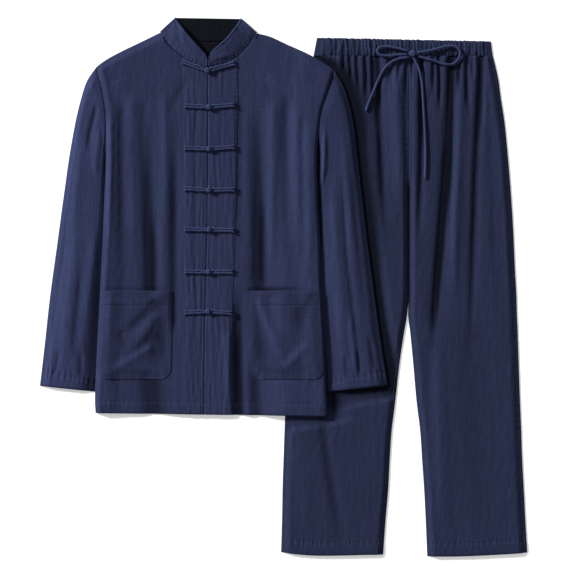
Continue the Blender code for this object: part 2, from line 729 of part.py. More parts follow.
def frog_half(tip, eye, eye_radius, height):
    """A doubled cord from a frog's tip to its eye and back, its two ends a little apart."""
    tip = np.array(tip, float)
    eye = np.array(eye, float)
    along = (eye - tip) / np.linalg.norm(eye - tip)
    side = np.array([-along[1], along[0]])
    neck = eye - along * (eye_radius + 4.0)
    turn = [eye - along * eye_radius * math.cos(a) + side * eye_radius * math.sin(a)
            for a in np.linspace(0.9, math.pi - 0.9, 3)]
    far = eye + along * eye_radius
    upper = [tip + side * (FROG_SPREAD + 1.6), tip + along * 5.0 + side * FROG_SPREAD,
             mix(tip, neck, 0.55) + side * FROG_SPREAD, neck + side * FROG_SPREAD, *turn]
    lower = [point - 2.0 * side * float(np.dot(point - tip, side)) for point in upper]
    return laid_path(upper + [far] + lower[::-1], height, FROG_CORD, FROG_CORD)


def build_ball(name, place, size, height, segments):
    """A knot: a ball resting on the cloth, flattened underneath."""
    x, y = place
    base = highest_around(height, x, y, 0.6 * size[0]) + SEAM
    bm = bmesh.new()
    bmesh.ops.create_uvsphere(bm, u_segments=segments, v_segments=6, radius=1.0)
    for vertex in bm.verts:
        flat_z = max(vertex.co.z, -0.72)
        vertex.co = to_metres((x + size[0] * vertex.co.x, y + size[1] * vertex.co.y, base + size[2] * (flat_z + 0.72)))
    return keep(name, mesh_from(name, bm), SHADED_NAVY)


def build_frogs(cloth):
    """Seven frogs: on each a doubled cord with the knot, and a doubled cord with the loop."""
    height = top_of(cloth)
    for number, frog in enumerate(FROGS, start=1):
        knot = np.array(frog["knot"], float)
        tail = np.array(frog["tail"], float)
        loop = np.array(frog["loop"], float)
        to_tail = (tail - knot) / np.linalg.norm(tail - knot)
        to_loop = (loop - knot) / np.linalg.norm(loop - knot)
        tail_eye = knot + to_tail * (FROG_BALL + FROG_CORD + SEAM + FROG_SPREAD)
        loop_eye = knot + to_loop * (FROG_BALL + FROG_CORD + SEAM + 4.3)
        cord(f"frog_{number}_tail", frog_half(tail, tail_eye, FROG_SPREAD, height), FROG_CORD, 1)
        cord(f"frog_{number}_loop", frog_half(loop, loop_eye, 4.3, height), FROG_CORD, 1)
        build_ball(f"frog_{number}_knot", knot, (FROG_BALL, FROG_BALL, 4.6), height, 8)


def build_drawstring(cloth):
    """The tied bow: two loops and two free ends that meet a small knot."""
    height = top_of(cloth)
    for name, route in BOW_ROUTES.items():
        points = smooth_route(route, 12.0)
        cord(name, laid_path(points, height, DRAWSTRING, 3 * DRAWSTRING), DRAWSTRING, 2)
    build_ball("drawstring_knot", BOW_KNOT, BOW_KNOT_SIZE, height, 10)


for old in list(bpy.data.objects):
    bpy.data.objects.remove(old)
SUIT = bpy.data.collections.new("mandarin_collar_suit")
bpy.context.scene.collection.children.link(SUIT)

waistband = build_waistband()
leg_fronts = []
for leg in ("left", "right"):
    build_leg(f"trouser_back_{leg}", f"{leg}_out", f"{leg}_in", front=False)
    leg_fronts.append(build_leg(f"trouser_front_{leg}", f"{leg}_out", f"{leg}_in", front=True))

build_jacket_back()
under_frogs = []
for half in ("left", "right"):
    grid_points = front_points(half)
    under_frogs.append(panel(f"jacket_front_{half}", grid_points))
    under_frogs.append(build_placket(half, grid_points))
    build_pocket(half, grid_points)
    build_sleeve(half)
under_frogs.append(build_collar())

build_frogs(under_frogs)
build_drawstring(leg_fronts + [waistband])
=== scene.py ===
# %% [markdown]
# # A mandarin collar suit, laid flat
# The jacket lies over the trousers' left side, as a shop lays a suit out to show both pieces.
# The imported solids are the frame. Each one is covered here by a finer cloth shell of the same form.
# Lengths are in millimetres on the sheet that the suit lies on, and turn into metres in one function.

# %% Load the frame
import math

import bmesh
import bpy
import numpy as np
from mathutils import Matrix, Vector
from mathutils.bvhtree import BVHTree


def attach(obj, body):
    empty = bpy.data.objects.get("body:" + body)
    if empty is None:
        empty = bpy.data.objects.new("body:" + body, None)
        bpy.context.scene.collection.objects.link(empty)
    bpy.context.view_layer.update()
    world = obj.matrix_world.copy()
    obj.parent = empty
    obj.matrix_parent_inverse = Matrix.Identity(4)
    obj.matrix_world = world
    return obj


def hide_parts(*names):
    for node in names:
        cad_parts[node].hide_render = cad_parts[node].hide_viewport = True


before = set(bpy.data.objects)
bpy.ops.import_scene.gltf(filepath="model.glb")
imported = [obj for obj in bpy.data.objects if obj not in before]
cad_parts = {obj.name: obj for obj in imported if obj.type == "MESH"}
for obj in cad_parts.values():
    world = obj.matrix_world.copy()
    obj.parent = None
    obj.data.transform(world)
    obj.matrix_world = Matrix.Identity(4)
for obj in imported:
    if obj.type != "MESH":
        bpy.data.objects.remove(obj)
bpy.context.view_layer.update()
MM = 0.001
SHEET_CENTRE = np.array([475.0, 525.1, 0.0])
print("solids in the frame:", len(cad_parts))

# %% [markdown]
# Small helpers come first. A surface here is always a formula of a place on the sheet, so every helper
# takes whole arrays of points at once. That keeps a cloth of twenty thousand points quick to make.


# %% Helpers for places and curves
def metres(points):
    """Points of the sheet in millimetres, as metres in the frame."""
    return (np.asarray(points, float) - SHEET_CENTRE) * MM


def smooth(t):
    t = np.clip(t, 0.0, 1.0)
    return t * t * (3.0 - 2.0 * t)


def mix(a, b, share):
    return a + (b - a) * share


def table(columns, rows):
    """A short table as a dictionary of columns, sorted by its first column."""
    values = np.array(sorted(rows), float).T
    return dict(zip(columns.split(), values))


def read(rows, column, at, key="y"):
    """A column at any value of the key, along a smooth curve through the rows."""
    keys, values = rows[key], rows[column]
    slopes = np.gradient(values, keys)
    at = np.clip(at, keys[0], keys[-1])
    i = np.clip(np.searchsorted(keys, at) - 1, 0, len(keys) - 2)
    step = keys[i + 1] - keys[i]
    t = (at - keys[i]) / step
    bend = (1 - t) * slopes[i] - t * slopes[i + 1] - (1 - 2 * t) * (values[i + 1] - values[i]) / step
    return mix(values[i], values[i + 1], t) + step * t * (1 - t) * bend


# %% [markdown]
# ## The cut
# These tables give the same edges as the solids: a row for each level, a column for each edge.
# The pieces share them, so a seam is one line and its two sides can't drift apart.

# %% Outlines of the jacket
BODY = table("y left band_left centre band_right right", [
    (275, 109, 281, 321, 374, 561),
    (294, 108, 281, 321, 374, 560),
    (363, 110, 281, 321, 375, 557),
    (441, 114, 281, 322, 376, 553),
    (538, 119, 281, 324, 378, 548),
    (616, 123, 281, 326, 381, 546),
    (694, 126, 281, 327, 383, 542),
    (762, 129, 281, 328, 385, 540),
    (815, 129, 281, 328, 385, 542),
    (866, 128, 281, 328, 386, 548),
    (905, 122, 280, 328, 386, 560),
    (950, 111, 280, 328, 386, 575),
])
LEFT_SHOULDER = table("x y", [(111, 954), (129, 967), (158, 983), (189, 998), (220, 1013), (236, 1021)])
RIGHT_SHOULDER = table("x y", [(422, 1019), (447, 1013), (480, 998), (513, 983), (545, 966), (575, 946)])
FRONT_NECK = table("x y", [
    (236, 1021), (240, 1010), (248, 999), (265, 983), (279, 972), (306, 957), (328, 951),
    (355, 957), (376, 967), (390, 976), (400, 987), (408, 996), (415, 1007), (422, 1019),
])
BACK_NECK = table("x y", [
    (236, 1021), (260, 1012), (290, 1007), (329, 1005), (370, 1007), (400, 1012), (422, 1019),
])
LEFT_NECK, RIGHT_NECK = 236.0, 422.0
UNDERARM, SHOULDER_POINT = 790.0, 954.0
SHOULDER_LEVEL = {"left": 954.0, "right": 946.0}
LEFT_SLEEVE = table("share outer_x outer_y inner_x inner_y", [
    (0.00, 111, 954, 131, 790),
    (0.09, 92, 926, 134, 750),
    (0.20, 76, 875, 136, 704),
    (0.35, 60, 795, 137, 633),
    (0.50, 47, 706, 134, 560),
    (0.65, 34, 610, 130, 486),
    (0.80, 19, 500, 126, 414),
    (0.92, 8, 400, 123, 355),
    (1.00, 0, 332, 122, 319),
])
RIGHT_SLEEVE = table("share outer_x outer_y inner_x inner_y", [
    (0.00, 575, 946, 538, 790),
    (0.09, 594, 912, 535, 750),
    (0.20, 609, 856, 530, 704),
    (0.35, 619, 776, 531, 633),
    (0.50, 629, 690, 534, 560),
    (0.65, 640, 600, 537, 486),
    (0.80, 654, 494, 542, 414),
    (0.92, 668, 396, 547, 355),
    (1.00, 678, 333, 549, 319),
])
SLEEVES = {"left": LEFT_SLEEVE, "right": RIGHT_SLEEVE}
print("jacket: shoulder to shoulder", BODY["right"][-1] - BODY["left"][-1], "mm")

# %% Outlines of the trousers
LEGS = table("y left_out left_in right_in right_out", [
    (0, 470, 669, 755, 950),
    (70, 472, 674, 752, 946),
    (129, 473, 679, 749, 943),
    (187, 475, 682, 745, 940),
    (246, 477, 686, 741, 938),
    (294, 479, 692, 735, 936),
    (382, 484, 702, 727, 933),
    (441, 487, 711, 721, 931),
    (464, 488, 715, 718, 930),
    (500, 490, 718.5, 718.3, 929),
    (558, 493, 719.4, 718.6, 926),
    (645, 499, 719.4, 718.6, 922),
    (733, 505, 719.2, 718.8, 916),
    (792, 510, 719.2, 718.8, 911),
    (850, 516, 719.2, 718.8, 905),
    (889, 521, 719.2, 718.8, 899),
    (932, 526, 719.2, 718.8, 893),
    (963, 531, 719.2, 718.8, 886),
    (975, 533, 719.2, 718.8, 883),
])
LEG_HEMS = table("x y", [(470, 8), (503, 4), (669, 3), (755, 0), (809, 0), (864, 2), (950, 7)])
COVER = table("y x", [
    (235, 380), (262, 575), (290, 590), (312, 690), (333, 690), (470, 668), (640, 645), (790, 625),
    (864, 620), (920, 600), (960, 565), (975, 540),
])
WAIST_SEAM, CROTCH, CENTRE_SEAM = 975.0, 710.0, 719.0
WAISTBAND_ENDS = {"bottom": ((533.0, 973.8), (883.0, 973.8)), "top": ((540.0, 1010.0), (879.0, 1003.0))}


# %% [markdown]
# ## Heights: what lies on what
# A laid garment is a stack. The floor carries the trousers, they carry the right sleeve, and the body
# lies on both sleeves' inner edges. So each layer's height is the layer below, its own wall, and the air
# that its folds hold. The rise over a hidden edge is an eased ramp, as cloth bridges a step.

# %% Layers
WALL = 1.2
SEAM = 0.3
TUCK, TUCK_LIFT, TROUSER_LIFT, RAMP = 14.0, 4.3, 3.9, 32.0
HEM_LEFT, HEM_DROP, HEM_START, HEM_RUN = 279.0, 6.0, 109.0, 452.0


def jacket_hem(x):
    """Level of the jacket's hem, which falls a little from left to right."""
    return HEM_LEFT - HEM_DROP * (x - HEM_START) / HEM_RUN


def jacket_top(x, neck):
    """Level of the shoulder seam or of one panel's neckline."""
    line = read(neck, "y", x, "x")
    line = np.where(x < LEFT_NECK, read(LEFT_SHOULDER, "y", x, "x"), line)
    return np.where(x > RIGHT_NECK, read(RIGHT_SHOULDER, "y", x, "x"), line)


def beside_armhole(y):
    """0 below the underarm and 1 at the shoulder's point."""
    return np.clip((y - UNDERARM) / (SHOULDER_POINT - UNDERARM), 0.0, 1.0)


def jacket_rest(x, y):
    """Underside of the jacket: it climbs onto the tucked sleeves and onto the trousers."""
    from_side = np.minimum(x - read(BODY, "left", y), read(BODY, "right", y) - x)
    tucked = 1.0 - smooth((from_side - TUCK - 5.0) / RAMP)
    sleeve_there = mix(0.3, 1.0, smooth((y - 275.0) / 25.0)) * (1.0 - beside_armhole(y))
    over_trousers = smooth((x - read(LEGS, "left_out", y) + RAMP + 10.0) / RAMP)
    return TUCK_LIFT * tucked * sleeve_there + TROUSER_LIFT * over_trousers


def armhole_air(y):
    """Air under the armhole's seam, most at the middle of its height."""
    return SEAM + 2.4 * np.sin(math.pi * beside_armhole(y))


# %% [markdown]
# ## Folds
# Linen keeps the folds it was packed with: long soft troughs and ridges, none quite straight or even.
# Each is a row with its two ends, its height or depth and its half width, placed from the photo.
# A few long waves of no set place are added so that no stretch of cloth is dead flat.

# %% Fold tables
FOLD_COLUMNS = "x0 y0 x1 y1 size width"
JACKET_FOLDS = table(FOLD_COLUMNS, [
    (217, 492, 213, 880, -2.6, 12),
    (222, 500, 214, 700, -1.4, 11),
    (224, 225, 226, 470, -2.8, 24),
    (160, 889, 160, 558, -1.1, 7),
    (179, 909, 181, 519, 1.2, 11),
    (244, 909, 242, 499, 1.0, 9),
    (264, 420, 262, 880, -2.0, 8),
    (203, 889, 201, 714, -0.5, 6),
    (429, 505, 425, 920, -2.4, 13),
    (434, 505, 428, 740, -1.7, 12),
    (452, 900, 452, 499, 1.6, 11),
    (480, 909, 482, 519, -1.2, 8),
    (499, 889, 501, 538, 1.0, 9),
    (525, 850, 525, 519, 0.9, 9),
    (511, 870, 513, 538, -0.6, 6),
    (390, 909, 390, 528, -0.8, 8),
    (387, 236, 388, 540, -4.2, 10),
    (425, 236, 423, 420, -2.2, 13),
    (136, 367, 140, 255, 0.9, 18),
    (476, 347, 480, 255, 0.8, 23),
    (528, 347, 532, 255, -0.9, 10),
    (304, 909, 304, 304, -0.5, 4),
    (136, 870, 135, 499, 1.2, 9),
    (367, 441, 369, 265, 0.8, 10),
    (289, 932, 244, 850, -0.6, 8),
    (445, 936, 488, 880, 0.5, 11),
    (150, 930, 190, 840, 0.5, 12),
])
POCKET_FOLDS = table(FOLD_COLUMNS, [
    (232, 500, 164, 425, -1.7, 8),
    (240, 478, 172, 402, 1.2, 10),
    (160, 440, 168, 396, -0.9, 7),
    (236, 436, 160, 378, -1.4, 9),
    (222, 412, 126, 352, 1.5, 9),
    (236, 505, 232, 352, -1.4, 14),
    (242, 470, 228, 340, -1.2, 22),
    (258, 500, 262, 396, 0.6, 8),
    (132, 505, 134, 400, 0.9, 9),
    (178, 360, 236, 347, -0.7, 8),
    (150, 499, 196, 486, 0.4, 9),
    (420, 508, 478, 372, 2.0, 10),
    (474, 366, 534, 424, 1.5, 9),
    (410, 512, 436, 340, -2.3, 13),
    (506, 486, 512, 425, -0.9, 10),
    (536, 512, 494, 440, -1.1, 10),
    (455, 508, 489, 410, 0.8, 18),
    (424, 363, 505, 350, -0.8, 8),
    (492, 356, 542, 374, -0.5, 8),
])
TROUSER_FOLDS = table(FOLD_COLUMNS, [
    (654, 1010, 676, 590, -2.4, 7),
    (659, 1000, 659, 820, -1.8, 6),
    (694, 960, 698, 650, 1.8, 14),
    (743, 1000, 745, 780, -3.4, 5),
    (746, 900, 738, 590, -2.2, 6),
    (802, 1060, 798, 600, -3.2, 5),
    (798, 820, 764, 380, -3.0, 6),
    (815, 1060, 752, 215, -2.2, 12),
    (818, 930, 802, 400, 1.5, 10),
    (863, 1040, 834, 330, -2.3, 7),
    (860, 1000, 857, 780, -1.6, 6),
    (891, 932, 922, 431, 0.7, 12),
    (830, 1000, 835, 850, -2.6, 5),
    (777, 1000, 780, 850, -2.6, 4),
    (766, 1000, 768, 885, -1.8, 4),
    (815, 1000, 817, 900, -2.2, 4),
    (717, 1000, 712, 880, -2.2, 4),
    (703, 1000, 698, 910, -1.4, 4),
    (633, 1000, 638, 870, -2.6, 5),
    (646, 1000, 651, 865, -2.2, 4),
    (617, 1000, 622, 890, -2.2, 4),
    (603, 1000, 608, 890, -2.6, 4),
    (590, 1000, 595, 905, -2.2, 5),
    (681, 1000, 684, 895, -1.4, 6),
    (725, 1000, 725, 920, -2.0, 4),
    (842, 1000, 844, 915, -1.4, 4),
    (542, 314, 595, -12, -1.4, 10),
    (507, 275, 517, 8, 0.5, 16),
    (766, 470, 792, -4, 1.1, 13),
    (838, 470, 858, 0, -0.6, 27),
    (874, 850, 893, 499, -0.5, 10),
    (710, 899, 718, 743, -0.7, 6),
])


def folds_at(folds, x, y):
    """Height that a table of folds adds at each point."""
    total = np.zeros_like(np.asarray(x, float) + np.asarray(y, float))
    for x0, y0, x1, y1, size, width in zip(*folds.values()):
        run_x, run_y = x1 - x0, y1 - y0
        length = math.hypot(run_x, run_y)
        along = ((x - x0) * run_x + (y - y0) * run_y) / length
        sway = 0.12 * width * np.sin(7.0 * along / length + x0)
        across = ((x - x0) * run_y - (y - y0) * run_x) / length + sway
        ends = smooth(along / (0.1 * length)) * smooth((length - along) / (0.45 * length))
        total = total + size * ends * np.exp(-(across / width) ** 2)
    return total


def make_waves(seed, count, shortest, longest, stretch):
    """Long soft waves of no set place, as rows of wave numbers, phase and height."""
    chance = np.random.default_rng(seed)
    size = np.exp(chance.uniform(math.log(shortest), math.log(longest), count))
    lean = chance.normal(0.0, 0.25, count)
    turns = math.tau / size
    along = turns * np.sin(lean) / stretch + turns / stretch * chance.normal(0, 0.6, count)
    phase = chance.uniform(0, math.tau, count)
    return np.stack([turns * np.cos(lean), along, phase, size / size.sum()], axis=1)


def waves_at(waves, x, y):
    """Height that a set of waves adds at each point."""
    return sum(height * np.sin(kx * x + ky * y + phase) for kx, ky, phase, height in waves)


BODY_WAVES = make_waves(seed=4, count=14, shortest=16.0, longest=90.0, stretch=5.0)
LEG_WAVES = make_waves(seed=9, count=14, shortest=18.0, longest=100.0, stretch=6.0)
CREASE_WAVES = make_waves(seed=21, count=16, shortest=7.0, longest=18.0, stretch=1.6)
print("folds placed by hand:", sum(len(t["x0"]) for t in (JACKET_FOLDS, POCKET_FOLDS, TROUSER_FOLDS)))


# %% Air between the layers
FOLD_AIR, LEAST_AIR, MOST_AIR = 5.4, 0.6, 11.0
FOLD_SCALE, BODY_WAVE_SIZE, CREASE_SIZE, GATHER_SIZE = 2.0, 0.8, 0.4, 0.6


def jacket_relief(x, y):
    """Folds and waves of the jacket's body, above or below its resting form."""
    waves = BODY_WAVE_SIZE * waves_at(BODY_WAVES, x, y)
    return FOLD_SCALE * folds_at(JACKET_FOLDS, x, y) + waves + CREASE_SIZE * waves_at(CREASE_WAVES, x, y)


def jacket_air(x, y):
    """Air under the jacket's front: none at the seams, more under the folds."""
    from_side = np.minimum(x - read(BODY, "left", y), read(BODY, "right", y) - x)
    inside = np.clip(FOLD_AIR + jacket_relief(x, y), LEAST_AIR, MOST_AIR)
    steep = np.where(x < 330.0, 13.0, 5.0)
    air = mix(armhole_air(y) + 0.8, inside, smooth(from_side / steep))
    from_shoulder = jacket_top(x, FRONT_NECK) - y
    on_shoulder = (x < LEFT_NECK) | (x > RIGHT_NECK)
    pinch = smooth(from_shoulder / 18.0)
    return np.where(on_shoulder, mix(SEAM, air, pinch), air)


def gathers_at(x, y):
    """Short folds that run down from the waistband's gathers and die out unevenly."""
    total = np.zeros_like(x + y)
    for place, lean, size, reach in GATHER_ROWS:
        drop = WAIST_SEAM - y
        across = x - place - lean * drop
        width = 2.3 + 0.035 * np.maximum(drop, 0.0)
        total = total + size * np.exp(-(across / width) ** 2) * np.exp(-np.maximum(drop, 0.0) / reach)
    return total


chance = np.random.default_rng(12)
GATHER_COUNT = 44
GATHER_ROWS = []
for i in range(GATHER_COUNT):
    place = 540.0 + 336.0 * (i + 0.5 + chance.uniform(-0.28, 0.28)) / GATHER_COUNT
    lean = 0.10 * (place - 709.0) / 170.0 + chance.normal(0.0, 0.02)
    GATHER_ROWS.append((place, lean, chance.uniform(1.4, 3.4), chance.uniform(16.0, 80.0)))


def leg_relief(x, y):
    """Folds, gathers and waves of a trouser leg, above or below its resting form."""
    waves = (0.35 + 0.65 * smooth((y - 380.0) / 200.0)) * waves_at(LEG_WAVES, x, y)
    relief = FOLD_SCALE * folds_at(TROUSER_FOLDS, x, y) + waves + CREASE_SIZE * waves_at(CREASE_WAVES, x, y)
    return relief + GATHER_SIZE * gathers_at(x, y)


def leg_air(x, y):
    """Air inside a trouser leg, pressed flat where the jacket lies over it."""
    is_left = x < CENTRE_SEAM
    from_out = np.where(is_left, x - read(LEGS, "left_out", y), read(LEGS, "right_out", y) - x)
    from_in = np.where(is_left, read(LEGS, "left_in", y) - x, x - read(LEGS, "right_in", y))
    inside = np.clip(FOLD_AIR + leg_relief(x, y), LEAST_AIR, MOST_AIR)
    inside = mix(0.8, inside, smooth((x - read(COVER, "x", y)) / 24.0))
    at_inner = np.minimum(mix(SEAM, 3.4, smooth((y - CROTCH + 10.0) / 60.0)), inside)
    air = mix(at_inner, inside, smooth(from_in / 14.0))
    return mix(SEAM, air, smooth(from_out / 18.0))


# %% [markdown]
# ## One function for cloth
# A piece of cloth starts as a Blender grid. A formula then lays each of its points, and Solidify gives it
# its thickness. The UV map holds metres along the warp and the weft, so the weave keeps its real size
# and turns with the cut of each piece, also where a sleeve slants.

# %% Cloth from a grid
THREAD_WALL, BACK_WALL = 0.0009, 0.0011
PIECES = {}


def put_in_scene(name, data):
    item = bpy.data.objects.new(name, data)
    bpy.context.scene.collection.objects.link(item)
    return item


def mesh_from(bm, name):
    """Ends a bmesh as a mesh of its own."""
    mesh = bpy.data.meshes.new(name)
    bm.to_mesh(mesh)
    bm.free()
    return mesh


def finish_piece(item, name, node, material):
    """What every piece needs: its body, the solid that it stands for and its material."""
    item.data.materials.append(material)
    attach(item, "root")
    if node:
        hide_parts(node)
    PIECES[name] = item
    return item


def near_edges(u, v):
    """Draws a grid's lines towards its four edges, where seams and hems need finer steps."""
    return mix(u, 0.5 - 0.5 * np.cos(math.pi * u), 0.5), mix(v, 0.5 - 0.5 * np.cos(math.pi * v), 0.3)


def cloth(name, place, columns, rows, node, material, wall=THREAD_WALL, tube=False, bunch=None,
          facing=None):
    """A cloth shell: a grid laid by a formula that gives its points, its thread coordinates and its lift.
    Lift is how proud a point stands, plus painted shadows; it paints shade into the linen's colour in the
    troughs and a highlight on the ridges. The last argument is a rule that says from u and the points which
    part gets the near-black cloth, as painted shade inside the neck."""
    bm = bmesh.new()
    bmesh.ops.create_grid(bm, x_segments=columns, y_segments=rows, size=1.0)
    mesh = mesh_from(bm, name)
    flat = np.empty(len(mesh.vertices) * 3)
    mesh.vertices.foreach_get("co", flat)
    flat = flat.reshape(-1, 3)
    u = (flat[:, 0] + 1.0) / 2.0
    v = (flat[:, 1] + 1.0) / 2.0
    if bunch:
        u, v = bunch(u, v)
    points, threads, lift = place(u, v)
    mesh.vertices.foreach_set("co", metres(points).ravel())
    # The lift is kept as an attribute that paints shade and highlight into the linen's colour.
    painted_light_layer = mesh.attributes.new("lift", "FLOAT", "POINT")
    painted_light_layer.data.foreach_set("value", np.ascontiguousarray(np.broadcast_to(lift, u.shape), dtype=np.float32))
    corners = np.empty(len(mesh.loops), dtype=np.int32)
    mesh.loops.foreach_get("vertex_index", corners)
    weave = mesh.uv_layers.new(name="threads")
    weave.data.foreach_set("uv", (threads[corners] * MM).ravel())
    if tube:
        bm = bmesh.new()
        bm.from_mesh(mesh)
        bmesh.ops.remove_doubles(bm, verts=bm.verts, dist=1e-5)
        bm.to_mesh(mesh)
        bm.free()
    face_up(mesh)
    mesh.shade_smooth()
    item = put_in_scene(name, mesh)
    shell = item.modifiers.new("wall", "SOLIDIFY")
    shell.thickness = wall
    shell.offset = -1.0
    shell.use_even_offset = False
    finish_piece(item, name, node, material)
    # Painted shade: the faces that the rule picks get the near-black cloth.
    if facing:
        mesh.materials.append(PAINTED_SHADE_CLOTH)
        inside = facing(u, points)
        for face in mesh.polygons:
            face.material_index = int(all(inside[i] for i in face.vertices))
    area = sum(face.area for face in mesh.polygons)
    print(f"{name}: {len(mesh.polygons)} faces, {area:.4f} square metres")
    return item


def face_up(mesh):
    """Turns a mesh over if its highest face looks down, so that faces point outwards."""
    heights = np.array([face.center.z for face in mesh.polygons])
    highest = np.argsort(heights)[-50:]
    if sum(mesh.polygons[int(i)].normal.z for i in highest) < 0.0:
        mesh.flip_normals()


def stack(*columns):
    """Columns of numbers side by side, a point or a thread coordinate to a row."""
    return np.stack(np.broadcast_arrays(*columns), axis=1).astype(float)


def edge_roll(distance, depth=0.8, width=2.2):
    """How far cloth rolls down towards a seam or a hem, by the distance from it."""
    return -depth * np.exp(-np.clip(distance, 0.0, None) / width)


def stitch_line(distance, depth=0.45, width=1.3):
    """The shallow groove that a row of stitches pulls into the cloth."""
    return -depth * np.exp(-(distance / width) ** 2)


def hem_fold(distance, height):
    """The doubled cloth of a turned-up hem, with small puckers where it is stitched."""
    return 0.6 * smooth((height - distance) / 2.5) + edge_roll(distance, 1.1, 2.0)


def puckers(along, distance, size=0.45, reach=7.0):
    """Small ripples that a row of stitches draws up on both sides."""
    ripple = np.sin(along * 0.62 + 1.9 * np.sin(along * 0.083)) + 0.6 * np.sin(along * 0.97 + 2.0)
    return size * ripple * np.exp(-(distance / reach) ** 2)


# %% [markdown]
# ## Linen
# The suit is a plain-woven linen and cotton cloth, dyed navy. Its yarns are slubby: they swell and thin
# along their length, so short light and dark dashes run both ways across the cloth. Two stretched noises
# give the slubs, one for each set of threads, and a third mottles the dye. The real yarns are about
# 0.5 mm apart, too fine to show, so they are drawn 1.3 mm apart. The fuzz of cut fibres gives a soft sheen.
# In a trough little light reaches the cloth, so the piece's own lift paints shade into its colour there, and
# it paints a highlight on the ridges and painted shadows where one piece shades another.

# %% Helper for materials
def linear(hex_colour):
    """An sRGB hex colour as linear red, green, blue and 1."""
    channels = [int(hex_colour[i:i + 2], 16) / 255.0 for i in (1, 3, 5)]
    return tuple(c / 12.92 if c <= 0.04045 else ((c + 0.055) / 1.055) ** 2.4 for c in channels) + (1.0,)


def add_node(tree, kind, settings=None, links=None, **inputs):
    """Adds a node, sets its properties and input values, and links its inputs from other sockets."""
    new = tree.nodes.new(kind)
    for key, value in (settings or {}).items():
        setattr(new, key, value)
    for key, value in inputs.items():
        new.inputs[key.replace("_", " ")].default_value = value
    for key, socket in (links or {}).items():
        tree.links.new(socket, new.inputs[key])
    return new


def set_values(node, values):
    for key, value in values.items():
        node.inputs[key].default_value = value


YARN, WARP_SLUB, WEFT_SLUB = 0.0013, 0.034, 0.030
MOTTLE_WIDE, MOTTLE_LONG = 0.0045, 0.14
YARN_SPREAD = 0.19


def linen(name, dark, light, slub=1.0, sheen=0.12, by="UV"):
    """Woven linen in two close colours, read along the threads of the piece's own map."""
    material = bpy.data.materials.new(name)
    material.use_nodes = True
    tree = material.node_tree
    shader = tree.nodes["Principled BSDF"]
    threads = add_node(tree, "ShaderNodeTexCoord").outputs[by]
    looks = {}
    for way, scale, detail in (("warp", (1 / YARN, 1 / WARP_SLUB, 1.0), 2.0),
                               ("weft", (1 / WEFT_SLUB, 1 / YARN, 1.0), 2.0),
                               ("mottle", (1 / MOTTLE_WIDE, 1 / MOTTLE_LONG, 1.0), 3.0)):
        mapped = add_node(tree, "ShaderNodeMapping", links={"Vector": threads}, Scale=scale)
        looks[way] = add_node(tree, "ShaderNodeTexNoise", links={"Vector": mapped.outputs[0]},
                              Scale=1.0, Detail=detail, Roughness=0.6)
    both = add_node(tree, "ShaderNodeMix", {"data_type": "FLOAT"},
                    {"A": looks["warp"].outputs[0], "B": looks["weft"].outputs[0]}, Factor=0.42)
    tone = add_node(tree, "ShaderNodeMix", {"data_type": "FLOAT"},
                    {"A": both.outputs[0], "B": looks["mottle"].outputs[0]}, Factor=0.28)
    spread = YARN_SPREAD / slub
    ramp = add_node(tree, "ShaderNodeMapRange", links={"Value": tone.outputs[0]},
                    From_Min=0.5 - spread, From_Max=0.5 + spread)
    colour = add_node(tree, "ShaderNodeMix", {"data_type": "RGBA"}, {"Factor": ramp.outputs[0]},
                      A=linear(dark), B=linear(light))
    # Painted shade and highlight: the lift scales the colour, darker in troughs and painted shadows, lighter
    # on ridges.
    if by == "UV":
        lift = add_node(tree, "ShaderNodeAttribute", {"attribute_name": "lift"})
        shade = add_node(tree, "ShaderNodeMapRange", links={"Value": lift.outputs["Fac"]},
                         From_Min=-8.0, From_Max=5.0, To_Min=0.17, To_Max=1.55)
        painted_shade_and_highlight = add_node(tree, "ShaderNodeVectorMath", {"operation": "SCALE"},
                          {0: colour.outputs["Result"], "Scale": shade.outputs[0]})
        tree.links.new(painted_shade_and_highlight.outputs[0], shader.inputs["Base Color"])
    else:
        tree.links.new(colour.outputs["Result"], shader.inputs["Base Color"])
    relief = add_node(tree, "ShaderNodeBump", links={"Height": tone.outputs[0]}, Strength=0.7,
                      Distance=0.0008)
    tree.links.new(relief.outputs[0], shader.inputs["Normal"])
    set_values(shader, {"Roughness": 0.88, "Specular IOR Level": 0.07, "Sheen Weight": sheen,
                        "Sheen Roughness": 0.45, "Sheen Tint": linear("#5b68b4")})
    return material


# %% Navy cloths
JACKET_LINEN = linen("jacket linen", "#1f243a", "#32395a")
TROUSER_LINEN = linen("trouser linen", "#1b2033", "#2c3350")
# Painted highlight: the cords' navy is lighter than the jacket's linen, for the light that their round tops
# catch.
CORD_LINEN = linen("bias cord linen", "#282f4a", "#3e476a", slub=0.7, by="Object")
# Painted shade: a near-black copy of the navy linen, put inside the neck where the same cloth is only in
# shade.
PAINTED_SHADE_CLOTH = linen("dark neck facing", "#080a10", "#0f131b", sheen=0.0)
THREAD = bpy.data.materials.new("navy sewing thread")
THREAD.use_nodes = True
set_values(THREAD.node_tree.nodes["Principled BSDF"], {"Base Color": linear("#2e3657"), "Roughness": 0.6})

# %% [markdown]
# ## Camera first
# The photograph looks straight down, so the camera hangs over the middle of the picture. A long lens from
# three metres up keeps the flat shapes true. The view is 1.123 m wide: 576 pixels of 1.95 mm.

